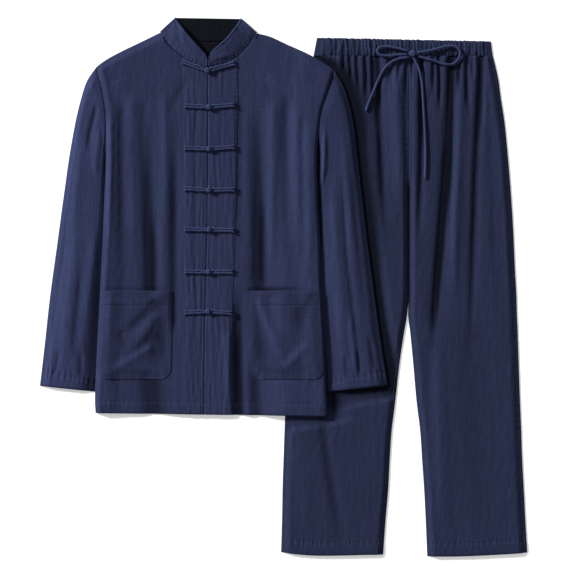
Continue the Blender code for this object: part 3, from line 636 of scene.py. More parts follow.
# %% Camera
PIXEL, PHOTO_SIDE = 1.95, 576
SHEET_CORNER = (40, 556)  # pixel of the photo where the sheet's x and y start
VIEW_WIDTH = PHOTO_SIDE * PIXEL
LENS, SENSOR = 100.0, 36.0
middle = metres([(PHOTO_SIDE / 2 - SHEET_CORNER[0]) * PIXEL, (SHEET_CORNER[1] - PHOTO_SIDE / 2) * PIXEL, 0.0])
camera_data = bpy.data.cameras.new("studio camera")
camera_data.lens = LENS
camera_data.sensor_width = SENSOR
camera = put_in_scene("studio camera", camera_data)
camera.location = (middle[0], middle[1], VIEW_WIDTH * MM * LENS / SENSOR)
bpy.context.scene.camera = camera
print("camera height:", round(camera.location.z, 3), "m")

# %% [markdown]
# ## Trousers
# Each leg is two panels, sewn at the outside seam and the inside seam. The back panels lie flat on the
# floor. The front panels carry the folds that run down from the gathered waist, and a turned-up hem.

# %% Trouser panels
LEG_EDGES = {"left": ("left_out", "left_in"), "right": ("right_in", "right_out")}
HEM_STITCH = 24.0


def leg_place(u, v, side):
    """Flat points of a leg's panel, and the level of its hem below each."""
    start, end = LEG_EDGES[side]
    level = mix(0.0, WAIST_SEAM, v)
    x = mix(read(LEGS, start, level), read(LEGS, end, level), u)
    hem = read(LEG_HEMS, "y", x, "x")
    return x, mix(hem, WAIST_SEAM, v), hem


def trouser_front(side):
    def place(u, v):
        x, y, hem = leg_place(u, v, side)
        start, end = LEG_EDGES[side]
        from_edge = np.minimum(x - read(LEGS, start, y), read(LEGS, end, y) - x)
        z = 2 * WALL + leg_air(x, y)
        z = z + edge_roll(from_edge, 1.0, 2.0) + edge_roll(WAIST_SEAM - y, 1.2, 3.0)
        z = z + stitch_line(from_edge - 6.0, 0.4) + puckers(y, from_edge - 6.0, 0.3, 6.0)
        z = z + hem_fold(y - hem, HEM_STITCH) + stitch_line(y - hem - HEM_STITCH, 0.5)
        z = z + puckers(x, y - hem - HEM_STITCH)
        # Painted shadow: the jacket's shadow beside its sleeve and below its hem, and the shade in the slit
        # between the legs, are painted into the leg's colour; the lift also paints shade in the folds'
        # troughs.
        beside_sleeve = x - read(COVER, "x", y)
        reach = mix(7.0, 21.0, smooth((y - 480.0) / 260.0))
        shade = -9.0 * np.exp(-(np.clip(beside_sleeve, 0.0, None) / reach) ** 2) * smooth((y - 300.0) / 30.0)
        shade = shade - 8.0 * np.exp(-((x - 574.0) ** 2 + (y - 300.0) ** 2) / 15.0 ** 2)
        slit = smooth((735.0 - y) / 20.0) * smooth((y - 470.0) / 30.0)
        from_centre = x - CENTRE_SEAM if side == "right" else CENTRE_SEAM - x
        shade = shade - 8.0 * slit * np.exp(-(from_centre / 3.0) ** 2)
        return stack(x, y, z), stack(x, y), leg_relief(x, y) * smooth(from_edge / 10.0) + shade

    return cloth(f"trouser_front_{side}_cloth", place, 124, 236, f"trouser_front_{side}",
                 TROUSER_LINEN, bunch=near_edges)


def trouser_back(side):
    def place(u, v):
        x, y, hem = leg_place(u, v, side)
        return stack(x, y, 0.0 * x + WALL), stack(x, y), 0.0

    return cloth(f"trouser_back_{side}_cloth", place, 26, 110, f"trouser_back_{side}",
                 TROUSER_LINEN, wall=BACK_WALL)


for side in ("left", "right"):
    back = trouser_back(side)
    front = trouser_front(side)

# %% [markdown]
# ## Waistband
# An elastic is threaded through a casing, so the cloth of the band is drawn into short upright gathers. No
# two are the same width. The band is a flattened tube: a grid rolled round, with the seam merged at one end.

# %% Gathered waistband
BAND_PLUMP, BAND_WIDTH, BAND_HEIGHT = 3.4, 345.0, 34.0
GATHER_HALF = 2.4


def waistband_place(u, v):
    """Round the band: the front from left to right, then the back from right to left."""
    on_front = u < 0.5
    across = np.where(on_front, 2.0 * u, 2.0 - 2.0 * u)
    (x0, y0), (x1, y1) = WAISTBAND_ENDS["bottom"]
    (x2, y2), (x3, y3) = WAISTBAND_ENDS["top"]
    x = mix(mix(x0, x1, across), mix(x2, x3, across), v)
    y = mix(mix(y0, y1, across), mix(y2, y3, across), v)
    from_end = np.minimum(across, 1.0 - across) * BAND_WIDTH
    round_end = np.sqrt(1.0 - (1.0 - np.clip(from_end / 3.0, 0.0, 1.0)) ** 2)
    plump = smooth(from_end / 26.0)
    swell = np.sin(math.pi * np.clip(v, 0.0, 1.0)) ** 0.7
    gathers = np.zeros_like(x)
    for place, lean, size, reach in GATHER_ROWS:
        sway = 1.2 * np.sin(5.0 * v + place)
        gathers = gathers + size * np.exp(-((x - place - sway) / GATHER_HALF) ** 2)
    half = 0.5 * (2 * WALL + SEAM)
    top = 2 * WALL + SEAM + plump * (BAND_PLUMP * (0.35 + 0.65 * swell) + 0.75 * gathers)
    seams = stitch_line((v - 0.5) * BAND_HEIGHT, 0.6, 1.6) + edge_roll(v * BAND_HEIGHT, 1.0, 2.0)
    top = top + plump * seams
    low = plump * 0.25 * gathers
    z_front = mix(half, top, round_end)
    z_back = mix(half, low, round_end)
    scallop = 0.35 * plump * (gathers - 1.0) * smooth((v - 0.6) / 0.4)
    points = stack(x, y + np.where(on_front, scallop, 0.0), np.where(on_front, z_front, z_back))
    # Painted shade between the gathers and a painted highlight on them.
    return points, stack(x * 1.5, y), 2.0 * plump * (gathers - 1.3)


band = cloth("waistband_cloth", waistband_place, 560, 18, "waistband", TROUSER_LINEN,
             tube=True)

# %% [markdown]
# ## Jacket back and fronts
# The back is one panel. Its hidden underside is flat on the floor, and it shows only inside the neck.
# The fronts meet at the centre. Grid rows follow the hem below and the shoulder above.

# %% Jacket panels
HEM, MEAN_HEM, MEAN_TOP = 22.0, 277.0, 960.0
STEPS_ACROSS = {"left": ("left", "centre"), "right": ("centre", "right")}


def jacket_place(u, v, start, end, neck):
    """Points of a panel between two of the outline's columns, from its hem up to its shoulder or neckline."""
    highest = np.full_like(u, MEAN_TOP)
    top = jacket_top(mix(read(BODY, start, highest), read(BODY, end, highest), u), neck)
    level = mix(MEAN_HEM, top, v)
    x = mix(read(BODY, start, level), read(BODY, end, level), u)
    hem = jacket_hem(x)
    y = mix(hem, top, v)
    return x, y, hem, top


def front_top(x, y):
    """Top of the fronts' cloth."""
    return jacket_rest(x, y) + 2 * WALL + jacket_air(x, y)


def pocket_mouth(x, y):
    """The front sinks a little along each pocket's mouth, most where the mouth stands open."""
    left = 0.9 * smooth((x - 118.0) / 20.0) * smooth((262.0 - x) / 20.0)
    right = 2.6 * smooth((x - 400.0) / 14.0) * smooth((530.0 - x) / 70.0)
    return -(left + right) * np.exp(-((y - 520.0) / 3.2) ** 2)


def jacket_front(side):
    start, end = STEPS_ACROSS[side]

    def place(u, v):
        x, y, hem, top = jacket_place(u, v, start, end, FRONT_NECK)
        side_edge = x - read(BODY, "left", y) if side == "left" else read(BODY, "right", y) - x
        z = front_top(x, y) + edge_roll(side_edge, 1.9, 2.4) + edge_roll(top - y, 0.7) + pocket_mouth(x, y)
        if side == "left":
            z = z + 1.6 * np.exp(-((side_edge - 10.0) / 6.0) ** 2)
        z = z + hem_fold(y - hem, HEM) + stitch_line(y - hem - HEM, 0.5) + puckers(x, y - hem - HEM)
        z = z + puckers(y, side_edge, 0.3)
        # Painted shade: the lift darkens the folds' troughs and the pocket mouths' dip, and lightens the
        # ridges.
        return stack(x, y, z), stack(x, y), jacket_relief(x, y) + 2.5 * pocket_mouth(x, y)

    return cloth(f"jacket_front_{side}_cloth", place, 70, 230, f"jacket_front_{side}",
                 JACKET_LINEN, bunch=near_edges)


def jacket_back_place(u, v):
    x, y, hem, top = jacket_place(u, v, "left", "right", BACK_NECK)
    z = jacket_rest(x, y) + WALL
    return stack(x, y, z), stack(x, y), 0.0


# Above this level the back panel is painted near-black: painted shade inside the neck.
NECK_SHADE_LEVEL = 930.0
back = cloth("jacket_back_cloth", jacket_back_place, 80, 100, "jacket_back", JACKET_LINEN,
             wall=BACK_WALL, facing=lambda u, points: points[:, 1] > NECK_SHADE_LEVEL)
for side in ("left", "right"):
    front = jacket_front(side)

# %% [markdown]
# ## Front bands
# A straight band about 50 mm wide is sewn down each front, so the frogs are fixed to doubled cloth. Its
# outer edge stands a little proud and is topstitched.

# %% Placket bands
BAND_LIFT = 1.4
BAND_WAVES = make_waves(seed=33, count=12, shortest=6.0, longest=18.0, stretch=9.0)
BAND_COLUMNS = {"left": ("band_left", "centre"), "right": ("centre", "band_right")}
CENTRE_GAP = 0.35  # each band stops this far from the centre line


def band_top(x, y):
    """Top of the bands' cloth."""
    return front_top(x, y) + BAND_LIFT + 0.6 * waves_at(BAND_WAVES, x, y)


def placket(side):
    start, end = BAND_COLUMNS[side]

    def place(u, v):
        x, y, hem, top = jacket_place(u, v, start, end, FRONT_NECK)
        outer = x - read(BODY, "band_left", y) if side == "left" else read(BODY, "band_right", y) - x
        inner = read(BODY, "centre", y) - x if side == "left" else x - read(BODY, "centre", y)
        z = band_top(x, y) + edge_roll(outer, 1.0, 1.6) + edge_roll(inner, 1.5, 1.6)
        z = z + stitch_line(outer - 3.5, 0.5) + puckers(y, outer - 3.5, 0.3, 5.0)
        z = z + stitch_line(inner - 6.0, 0.4)
        z = z + hem_fold(y - hem, HEM) + stitch_line(y - hem - HEM, 0.5)
        x = x + np.where(inner < 0.01, -CENTRE_GAP if side == "left" else CENTRE_GAP, 0.0)
        # Painted shade and highlight along the folds and the band's ripples.
        return stack(x, y, z), stack(x, y), jacket_relief(x, y) + 3.0 * waves_at(BAND_WAVES, x, y)

    return cloth(f"placket_{side}_cloth", place, 44, 210, f"placket_{side}",
                 JACKET_LINEN, bunch=near_edges)


for side in ("left", "right"):
    strip = placket(side)

# %% [markdown]
# ## Patch pockets
# A pocket is a rectangle of cloth with rounded lower corners, sewn on at three sides. Its mouth has a
# turned hem of about 28 mm and stands a little open. The cloth between has sagged into slanting creases.

# %% Patch pockets
POCKET_LEVELS = (345.0, 517.0)
POCKET_CORNER = 22.0
POCKET_HEM = 28.0
POCKET_EDGES = {"left": (4.0, 0.857), "right": (4.0, 0.8095)}


def pocket(side):
    inset, far = POCKET_EDGES[side]

    def place(u, v):
        low, high = POCKET_LEVELS
        y = mix(low, high, v)
        far_x = mix(read(BODY, side, y), read(BODY, f"band_{side}", y), far)
        if side == "left":
            x0, x1 = read(BODY, "left", y) + inset, far_x
        else:
            x0, x1 = far_x, read(BODY, "right", y) - inset
        rise = np.clip((y - low) / POCKET_CORNER, 0.0, 1.0)
        cut = POCKET_CORNER * (1.0 - np.sqrt(1.0 - (1.0 - rise) ** 2))
        x = mix(x0 + cut, x1 - cut, u)
        from_side = np.minimum(x - x0, x1 - x)
        from_edge = np.minimum(np.minimum(x - x0 - cut, x1 - cut - x), y - low)
        from_mouth = high - y
        slack = smooth(from_edge / 22.0)
        mouth = 2.0 * np.exp(-from_mouth / 18.0) * np.clip(np.sin(math.pi * u), 0.0, 1.0) ** 1.3
        sag = np.clip(2.6 + 1.5 * folds_at(POCKET_FOLDS, x, y), 0.1, 7.0)
        under = mix(front_top(x, y), jacket_rest(x, y) + 2 * WALL + 4.4, 0.55 * slack)
        z = under + 1.1 + slack * sag + mouth + puckers(x + y, from_edge - 2.5, 0.35, 5.0)
        z = z + edge_roll(from_edge, 0.9, 1.8) + edge_roll(from_mouth, 0.6)
        z = z + stitch_line(from_edge - 2.5, 0.4)
        z = z + 0.5 * smooth((POCKET_HEM - from_mouth) / 2.5) + stitch_line(from_mouth - POCKET_HEM, 0.8, 1.5)
        floor_z = front_top(x, y) + 1.0
        z = np.logaddexp(z * 2.0, floor_z * 2.0) / 2.0
        # Painted shade: darker in the creases' troughs and lighter on their ridges, and darker overall, more
        # on the right pocket.
        shade = slack * 1.8 * folds_at(POCKET_FOLDS, x, y) - (0.3 if side == "left" else 1.1)
        return stack(x, y, z), stack(x + 0.02 * from_side, y), shade

    return cloth(f"pocket_{side}_cloth", place, 84, 96, f"pocket_{side}", JACKET_LINEN,
                 bunch=near_edges)


for side in ("left", "right"):
    patch = pocket(side)

# %% [markdown]
# ## Sleeves
# A sleeve is a tube pressed flat. The grid is rolled round it: over the top from the outer edge to the
# inner edge, and back underneath. Its first ring follows the armhole, and it slants towards the cuff. The
# cuff is the sleeve's own end, turned up 20 mm and stitched, which puckers the cloth above it.

# %% Sleeve tubes
SLEEVE_FOLDS = {
    "left": table("a0 s0 a1 s1 size width", [
        (0.34, 0.04, 0.36, 0.26, -1.6, 0.06),
        (0.58, 0.06, 0.55, 0.30, 1.2, 0.09),
        (0.22, 0.20, 0.24, 0.60, 1.2, 0.11),
        (0.12, 0.45, 0.10, 0.94, -0.9, 0.05),
        (0.30, 0.50, 0.34, 0.96, 1.6, 0.12),
        (0.50, 0.60, 0.52, 0.94, -0.8, 0.06),
        (0.66, 0.40, 0.64, 0.80, 0.9, 0.09),
        (0.62, 0.86, 0.64, 0.97, -1.3, 0.05),
        (0.78, 0.88, 0.76, 0.97, 1.0, 0.04),
        (0.26, 0.90, 0.25, 0.97, -1.0, 0.03),
    ]),
    "right": table("a0 s0 a1 s1 size width", [
        (0.60, 0.04, 0.74, 0.26, 2.0, 0.08),
        (0.52, 0.24, 0.60, 0.94, 1.5, 0.10),
        (0.34, 0.26, 0.38, 0.96, -1.0, 0.04),
        (0.24, 0.14, 0.28, 0.70, 0.8, 0.07),
        (0.14, 0.30, 0.16, 0.90, -0.8, 0.05),
        (0.44, 0.76, 0.47, 0.97, 1.2, 0.04),
        (0.39, 0.88, 0.41, 0.97, -1.6, 0.03),
        (0.17, 0.86, 0.16, 0.97, -1.4, 0.035),
        (0.60, 0.88, 0.58, 0.97, -1.0, 0.04),
        (0.72, 0.60, 0.72, 0.92, -0.8, 0.05),
    ]),
}
CUFF_STITCH = 20.0
SLEEVE_LENGTH = 560.0


def sleeve_bunch(u, v):
    """Puts more of the rolled grid's columns near the sleeve's two folded edges."""
    turn = np.where(u < 0.5, 2.0 * u, 2.0 * u - 1.0)
    eased = mix(turn, 0.5 - 0.5 * np.cos(math.pi * turn), 0.6)
    return np.where(u < 0.5, 0.5 * eased, 0.5 + 0.5 * eased), v


def sleeve_folds_at(rows, across, share):
    """Height that a sleeve's folds add, by the shares of its width and of its length."""
    total = np.zeros_like(across)
    for a0, s0, a1, s1, size, width in zip(*rows.values()):
        t = (share - s0) / (s1 - s0)
        middle_line = mix(a0, a1, t) + 0.012 * np.sin(9.0 * share + 7.0 * a0)
        ends = smooth(t / 0.3) * smooth((1.0 - t) / 0.3)
        total = total + size * ends * np.exp(-((across - middle_line) / width) ** 2)
    return total


def sleeve(side):
    rows = SLEEVES[side]
    outward = 1.0 if side == "right" else -1.0
    base = TROUSER_LIFT if side == "right" else 0.0

    def place(u, v):
        share = 1.0 - v
        on_top = u <= 0.5
        across = np.where(on_top, 2.0 * u, 2.0 - 2.0 * u)
        outer = [read(rows, key, share, "share") for key in ("outer_x", "outer_y")]
        inner = [read(rows, key, share, "share") for key in ("inner_x", "inner_y")]
        width = np.hypot(inner[0] - outer[0], inner[1] - outer[1])
        level = mix(SHOULDER_LEVEL[side], UNDERARM, across)
        armhole_x = read(BODY, side, level) + outward * SEAM
        line_x = mix(rows["outer_x"][0], rows["inner_x"][0], across)
        line_y = mix(rows["outer_y"][0], rows["inner_y"][0], across)
        fade = (1.0 - share) ** 6
        x = mix(outer[0], inner[0], across) + (armhole_x - line_x) * fade
        y = mix(outer[1], inner[1], across) + (level - line_y) * fade
        at_armhole = jacket_rest(read(BODY, side, level), level)
        rest = mix(at_armhole, base, smooth(share / 0.085))
        from_inner = (1.0 - across) * width
        crown = smooth(across * width / 20.0) * smooth((from_inner - TUCK - 4.0) / 34.0)
        waves = 0.6 * waves_at(BODY_WAVES, across * 120.0, share * 560.0 + 90.0)
        waves = waves + 0.35 * waves_at(CREASE_WAVES, across * 120.0, share * 560.0)
        folds = np.clip(5.2 + 1.8 * sleeve_folds_at(SLEEVE_FOLDS[side], across, share) + waves, 0.4, 10.5)
        air = mix(armhole_air(level), SEAM + folds * crown, smooth(share / 0.07))
        from_edge = np.minimum(across, 1.0 - across) * width
        round_edge = np.sqrt(1.0 - (1.0 - np.clip(from_edge / 2.4, 0.0, 1.0)) ** 2)
        thick = 2 * WALL + air
        down = share * SLEEVE_LENGTH
        from_cuff = SLEEVE_LENGTH - down
        seams = edge_roll(down, 1.7, 3.6) + stitch_line(from_cuff - CUFF_STITCH, 0.8, 1.6)
        seams = seams + hem_fold(from_cuff, CUFF_STITCH)
        seams = seams + puckers(across * width, from_cuff - CUFF_STITCH, 0.8, 9.0)
        z_top = mix(rest + thick / 2, rest + thick + seams * round_edge, round_edge)
        z_low = mix(rest + thick / 2, rest, round_edge)
        weft = np.where(on_top, across, 2.0 - across) * width
        lift = 1.6 * sleeve_folds_at(SLEEVE_FOLDS[side], across, share) + waves
        # The light comes from the left: shade is painted where each sleeve dips beside the body and in its
        # folds' troughs, the left sleeve is painted lighter towards its outer edge, and the right one darker
        # there.
        if side == "left":
            lift = lift + 3.9 - 2.5 * smooth((across - 0.2) / 0.4)
            lift = lift - mix(1.0, 8.0, smooth((share - 0.35) / 0.35)) * smooth((across - 0.62) / 0.22)
            beside_chest = smooth((0.26 - share) / 0.12) * smooth((share - 0.03) / 0.07)
            lift = lift - 7.0 * beside_chest * smooth((across - 0.74) / 0.14)
        else:
            lift = lift - 2.6 * smooth((0.4 - across) / 0.4)
            lift = lift - 8.0 * smooth((across - mix(0.72, 0.84, smooth((share - 0.3) / 0.3))) / 0.10)
        return stack(x, y, np.where(on_top, z_top, z_low)), stack(weft, v * SLEEVE_LENGTH), lift

    return cloth(f"sleeve_{side}_cloth", place, 116, 170, f"sleeve_{side}", JACKET_LINEN,
                 tube=True, bunch=sleeve_bunch)


for side in ("left", "right"):
    tube = sleeve(side)

# %% [markdown]
# ## Stand collar
# The collar is one strip. Laid flat, its two front halves fold over at the sides of the neck and its back
# half lies underneath, and the inside of the neck, which is only in shade, is painted as a near-black wedge.
# It is two layers thick with a stiffener between, so it holds a rounder, cleaner surface than the body and
# stands up from it.

# %% Collar strip
COLLAR_WALL = 2.0
COLLAR_EDGE = {
    "left": table("share x y", [
        (0.0, 266, 1049), (0.15, 273, 1037), (0.32, 282, 1025), (0.5, 293, 1011), (0.68, 306, 997),
        (0.85, 318, 984), (0.95, 325, 975), (1.0, 327.5, 967),
    ]),
    "right": table("share x y", [
        (0.0, 391, 1047), (0.15, 384, 1035), (0.32, 376, 1024), (0.5, 364, 1009), (0.68, 350, 996),
        (0.85, 337, 985), (0.95, 331, 977), (1.0, 328.5, 967),
    ]),
}


COLLAR_CREASES = {
    "left": ((0.02, 0.90, 0.30, 0.25, 0.9, 0.06), (0.16, 0.95, 0.42, 0.35, -0.9, 0.06),
             (0.30, 0.95, 0.52, 0.45, 0.7, 0.07), (0.05, 0.40, 0.22, 0.05, -0.7, 0.05)),
    "right": ((0.55, 0.20, 0.90, 0.55, 0.7, 0.08), (0.60, 0.05, 0.95, 0.40, -0.6, 0.06)),
}


def neck_base(side):
    """The neckline as even steps of its own length, from the side of the neck to the centre front."""
    x = np.linspace(LEFT_NECK, 328.0, 200) if side == "left" else np.linspace(RIGHT_NECK, 329.0, 200)
    y = read(FRONT_NECK, "y", x, "x")
    reach = np.concatenate([[0.0], np.cumsum(np.hypot(np.diff(x), np.diff(y)))])
    return {"share": reach / reach[-1], "x": x, "y": y}


NECK_BASE = {side: neck_base(side) for side in ("left", "right")}
FLAP_END, TURN_END = 0.38, 0.42
FLAP_LENGTH = 118.0


def flap_point(side, share, height):
    """Place of a front half of the collar. Share runs from the side of the neck to the centre front."""
    base = NECK_BASE[side]
    bx = np.interp(share, base["share"], base["x"])
    by = np.interp(share, base["share"], base["y"]) + SEAM
    tx = read(COLLAR_EDGE[side], "x", share, "share")
    ty = read(COLLAR_EDGE[side], "y", share, "share")
    round_corner = smooth((share - 0.9) / 0.1) * smooth((height - 0.6) / 0.4)
    x = mix(bx, tx, height)
    y = mix(by, ty, height) - 2.5 * round_corner
    bulge = np.sin(math.pi * np.clip(height, 0.0, 1.0) ** 0.8)
    lift = 8.0 * smooth(share / 0.35) * height ** 1.2 * mix(1.0, 0.4, smooth((share - 0.6) / 0.4))
    z = 5.6 + lift + 1.8 * bulge
    from_edge = np.minimum((1.0 - height) * 38.0, (1.0 - share) * FLAP_LENGTH)
    from_base = height * 38.0
    z = z + 0.7 * np.exp(-((from_edge - 2.4) / 1.6) ** 2) + edge_roll(from_edge, 1.3, 1.3)
    z = z + stitch_line(from_edge - 5.5, 0.5) + edge_roll(from_base, 1.0, 2.0)
    z = z + stitch_line(from_base - 4.0, 0.4)
    z = z + puckers(share * FLAP_LENGTH, from_base - 4.0, 0.28, 6.0) + 0.5 * waves_at(CREASE_WAVES, x, y)
    for s0, h0, s1, h1, size, width in COLLAR_CREASES[side]:
        t = (share - s0) * (s1 - s0) + (height - h0) * (h1 - h0)
        t = t / ((s1 - s0) ** 2 + (h1 - h0) ** 2)
        away = np.hypot(share - mix(s0, s1, t), height - mix(h0, h1, t))
        ends = size * smooth(t / 0.3) * smooth((1.0 - t) / 0.3)
        z = z + ends * np.exp(-(away / width) ** 2)
    return x, y, z


def collar_place(u, v):
    """Round the strip: left front half, behind the neck, right front half."""
    x = np.zeros_like(u)
    y = np.zeros_like(u)
    z = np.zeros_like(u)
    height = v
    mirrored = u > 0.5
    turn = np.where(mirrored, 1.0 - u, u)
    for side, chosen in (("left", ~mirrored), ("right", mirrored)):
        share = np.clip(1.0 - turn / FLAP_END, 0.0, 1.0)
        fx, fy, fz = flap_point(side, share, height)
        bend = np.clip((turn - FLAP_END) / (TURN_END - FLAP_END), 0.0, 1.0)
        behind = np.clip((turn - TURN_END) / (0.5 - TURN_END), 0.0, 1.0)
        ex, ey, ez = flap_point(side, np.zeros_like(u), height)
        outward = -1.0 if side == "left" else 1.0
        corner_base, corner_free = (LEFT_NECK, 266.0) if side == "left" else (RIGHT_NECK, 391.0)
        centre_base, centre_free = 329.0, 328.5
        base_x = mix(corner_base, centre_base, behind)
        base_y = read(BACK_NECK, "y", base_x, "x") - 1.6
        free_x = mix(corner_free, centre_free, behind)
        free_y = mix(1049.0 if side == "left" else 1047.0, 1048.0, behind)
        angle = bend * math.pi
        round_x = ex + outward * 1.6 * np.sin(angle)
        round_y = ey + 0.8 * np.sin(angle)
        round_z = mix(ez, 0.0, 0.5 - 0.5 * np.cos(angle))
        px = np.where(turn < FLAP_END, fx, np.where(turn < TURN_END, round_x, mix(base_x, free_x, height)))
        py = np.where(turn < FLAP_END, fy, np.where(turn < TURN_END, round_y, mix(base_y, free_y, height)))
        pz = np.where(turn < FLAP_END, fz, np.where(turn < TURN_END, round_z, 0.0))
        x = np.where(chosen, px, x)
        y = np.where(chosen, py, y)
        z = np.where(chosen, pz, z)
    # Painted light: the left half of the strip is painted lighter than the right half.
    return stack(x, y, z), stack(u * 400.0, v * 42.0), np.where(u < 0.5, 1.6, 0.4)


# The collar's back half is painted near-black: painted shade inside the neck.
collar = cloth("collar_cloth", collar_place, 300, 28, "collar", JACKET_LINEN,
               wall=COLLAR_WALL * MM, facing=lambda u, points: (u > TURN_END) & (u < 1.0 - TURN_END))

# %% [markdown]
# ## Cords
# A frog is a narrow tube of bias cloth, doubled and sewn down. One half ends in a knotted ball, the other
# in a loop that slips over it. The cords here are curves with a round bevel, laid on the bands by the same
# formula that made the bands, so they can't float or sink.

# %% Cord from a route
FROG_CORD, FROG_SPREAD, FROG_BALL, DRAWSTRING = 2.1, 2.35, 5.4, 2.5
CORD_END = 0.62  # a cord's end is this much of its radius


def smooth_route(points, step):
    """Points at an even step along a smooth curve through a route's own points."""
    points = np.array(points, float)
    reach = np.concatenate([[0.0], np.cumsum(np.linalg.norm(np.diff(points, axis=0), axis=1))])
    rows = {"reach": reach, **{axis: points[:, axis] for axis in range(points.shape[1])}}
    at = np.linspace(0.0, reach[-1], max(3, round(reach[-1] / step) + 1))
    return np.stack([read(rows, axis, at, "reach") for axis in range(points.shape[1])], axis=1)


def cord(name, points, radius, node, material):
    """A round cord as a bevelled curve through points of the sheet, its two ends rounded off."""
    curve = bpy.data.curves.new(name, "CURVE")
    curve.dimensions = "3D"
    curve.bevel_depth = radius * MM
    curve.bevel_resolution = 4
    curve.use_fill_caps = True
    spline = curve.splines.new("POLY")
    spline.points.add(len(points) - 1)
    laid = metres(points)
    spline.points.foreach_set("co", np.column_stack([laid, np.ones(len(laid))]).ravel())
    last = len(points) - 1
    spline.points.foreach_set("radius", np.interp(np.arange(len(points)), [0, 1, last - 1, last],
                                                  [CORD_END, 1.0, 1.0, CORD_END]))
    spline.use_smooth = True
    item = put_in_scene(name, curve)
    finish_piece(item, name, node, material)
    length = float(np.linalg.norm(np.diff(laid, axis=0), axis=1).sum())
    return item, length


# %% Frogs on the bands
FROGS = (
    {"tail": (278, 963), "knot": (327, 945), "loop": (382, 960)},
    {"tail": (282, 877), "knot": (330, 874), "loop": (382, 879)},
    {"tail": (282, 795), "knot": (330, 793), "loop": (382, 797)},
    {"tail": (282, 716), "knot": (330, 713), "loop": (382, 714)},
    {"tail": (282, 637), "knot": (330, 636), "loop": (381, 635)},
    {"tail": (282, 555), "knot": (329, 554), "loop": (379, 554)},
    {"tail": (282, 475), "knot": (328, 477), "loop": (377, 474)},
)
LOOP_EYE = 3.4


def frog_half(tip, eye, eye_radius):
    """A doubled cord from the tip to the eye and back, as flat points."""
    tip, eye = np.array(tip, float), np.array(eye, float)
    along = (eye - tip) / np.linalg.norm(eye - tip)
    side = np.array([-along[1], along[0]])
    neck = eye - along * (eye_radius + 4.0)
    turn = [eye - along * eye_radius * math.cos(a) + side * eye_radius * math.sin(a)
            for a in np.linspace(0.7, math.pi - 0.35, 7)]
    upper = [tip + along * 2.6 + side * (FROG_SPREAD + 2.4), tip + along * 0.6 + side * (FROG_SPREAD + 1.4),
             tip + along * 3.0 + side * (FROG_SPREAD + 0.1), tip + along * 7.0 + side * FROG_SPREAD,
             mix(tip, neck, 0.6) + side * (FROG_SPREAD - 0.25), neck + side * FROG_SPREAD, *turn]
    lower = [point - 2.0 * side * float(np.dot(point - tip, side)) for point in upper]
    return smooth_route(upper + [eye + along * eye_radius] + lower[::-1], 1.6)


def on_bands(flat_points, radius):
    """Lays flat points on the bands, over the collar's edge where the top frog meets it."""
    x, y = flat_points[:, 0], flat_points[:, 1]
    lift = 0.0
    for dx in (-radius, 0.0, radius):
        lift = np.maximum(lift, band_top(x + dx, y))
    near_collar = smooth((y - read(FRONT_NECK, "y", x, "x") + 5.0) / 4.0)
    return np.column_stack([x, y, lift + radius + 0.9 * near_collar])


KNOT_WRAPS = ((0.0, 0.0), (1.05, 0.5), (-1.05, 1.6), (0.6, 2.6))
KNOT_CORE, WRAP_PLACE, WRAP_RADIUS = 0.86, 0.79, 0.27


def knot_ball(name, centre, size, node, material):
    """A ball knot: a round core with cord wraps crossing over it."""
    bm = bmesh.new()
    bmesh.ops.create_icosphere(bm, subdivisions=3, radius=KNOT_CORE)
    for tilt, turn in KNOT_WRAPS:
        start = len(bm.verts)
        ring = bmesh.ops.create_circle(bm, segments=8, radius=WRAP_RADIUS)
        upright = Matrix.Translation((WRAP_PLACE, 0, 0)) @ Matrix.Rotation(math.radians(90), 4, "X")
        bmesh.ops.transform(bm, matrix=upright, verts=ring["verts"])
        edges = list({edge for vert in ring["verts"] for edge in vert.link_edges})
        bmesh.ops.spin(bm, geom=ring["verts"] + edges, cent=(0, 0, 0), axis=(0, 0, 1), angle=math.tau,
                       steps=28, use_merge=True, use_duplicate=False)
        bm.verts.ensure_lookup_table()
        aim = Matrix.Rotation(turn, 4, "Z") @ Matrix.Rotation(tilt, 4, "X")
        bmesh.ops.transform(bm, matrix=aim, verts=bm.verts[start:])
    bmesh.ops.recalc_face_normals(bm, faces=bm.faces)
    place = metres(centre)
    for vert in bm.verts:
        vert.co = Vector(place) + Vector((vert.co.x * size[0], vert.co.y * size[1], vert.co.z * size[2])) * MM
    mesh = mesh_from(bm, name)
    mesh.shade_smooth()
    return finish_piece(put_in_scene(name, mesh), name, node, material)


for number, frog in enumerate(FROGS, start=1):
    knot, tail, loop = (np.array(frog[key], float) for key in ("knot", "tail", "loop"))
    to_tail = (tail - knot) / np.linalg.norm(tail - knot)
    to_loop = (loop - knot) / np.linalg.norm(loop - knot)
    tail_eye = knot + to_tail * (FROG_BALL + FROG_CORD + SEAM + FROG_SPREAD - 1.5)
    loop_eye = knot + to_loop * (FROG_BALL + FROG_CORD + SEAM + LOOP_EYE - 1.5)
    loop = loop - to_loop * 2.0
    for half, tip, eye, eye_radius in (("tail", tail, tail_eye, FROG_SPREAD),
                                       ("loop", loop, loop_eye, LOOP_EYE)):
        laid = on_bands(frog_half(tip, eye, eye_radius), FROG_CORD)
        cord(f"frog_{number}_{half}_cord", laid, FROG_CORD, f"frog_{number}_{half}", CORD_LINEN)
    top = float(band_top(knot[:1], knot[1:])[0])
    knot_ball(f"frog_{number}_knot_ball", (knot[0], knot[1], top + 4.2), (FROG_BALL, FROG_BALL, 4.6),
              f"frog_{number}_knot", CORD_LINEN)
print("frogs:", len(FROGS))

# %% [markdown]
# ## Drawstring
# The drawstring leaves the band at the centre front and is tied in a bow: a small flat loop to the left, a
# rounder one to the right, and two free ends of unequal length that lie on the trousers in lazy curves.

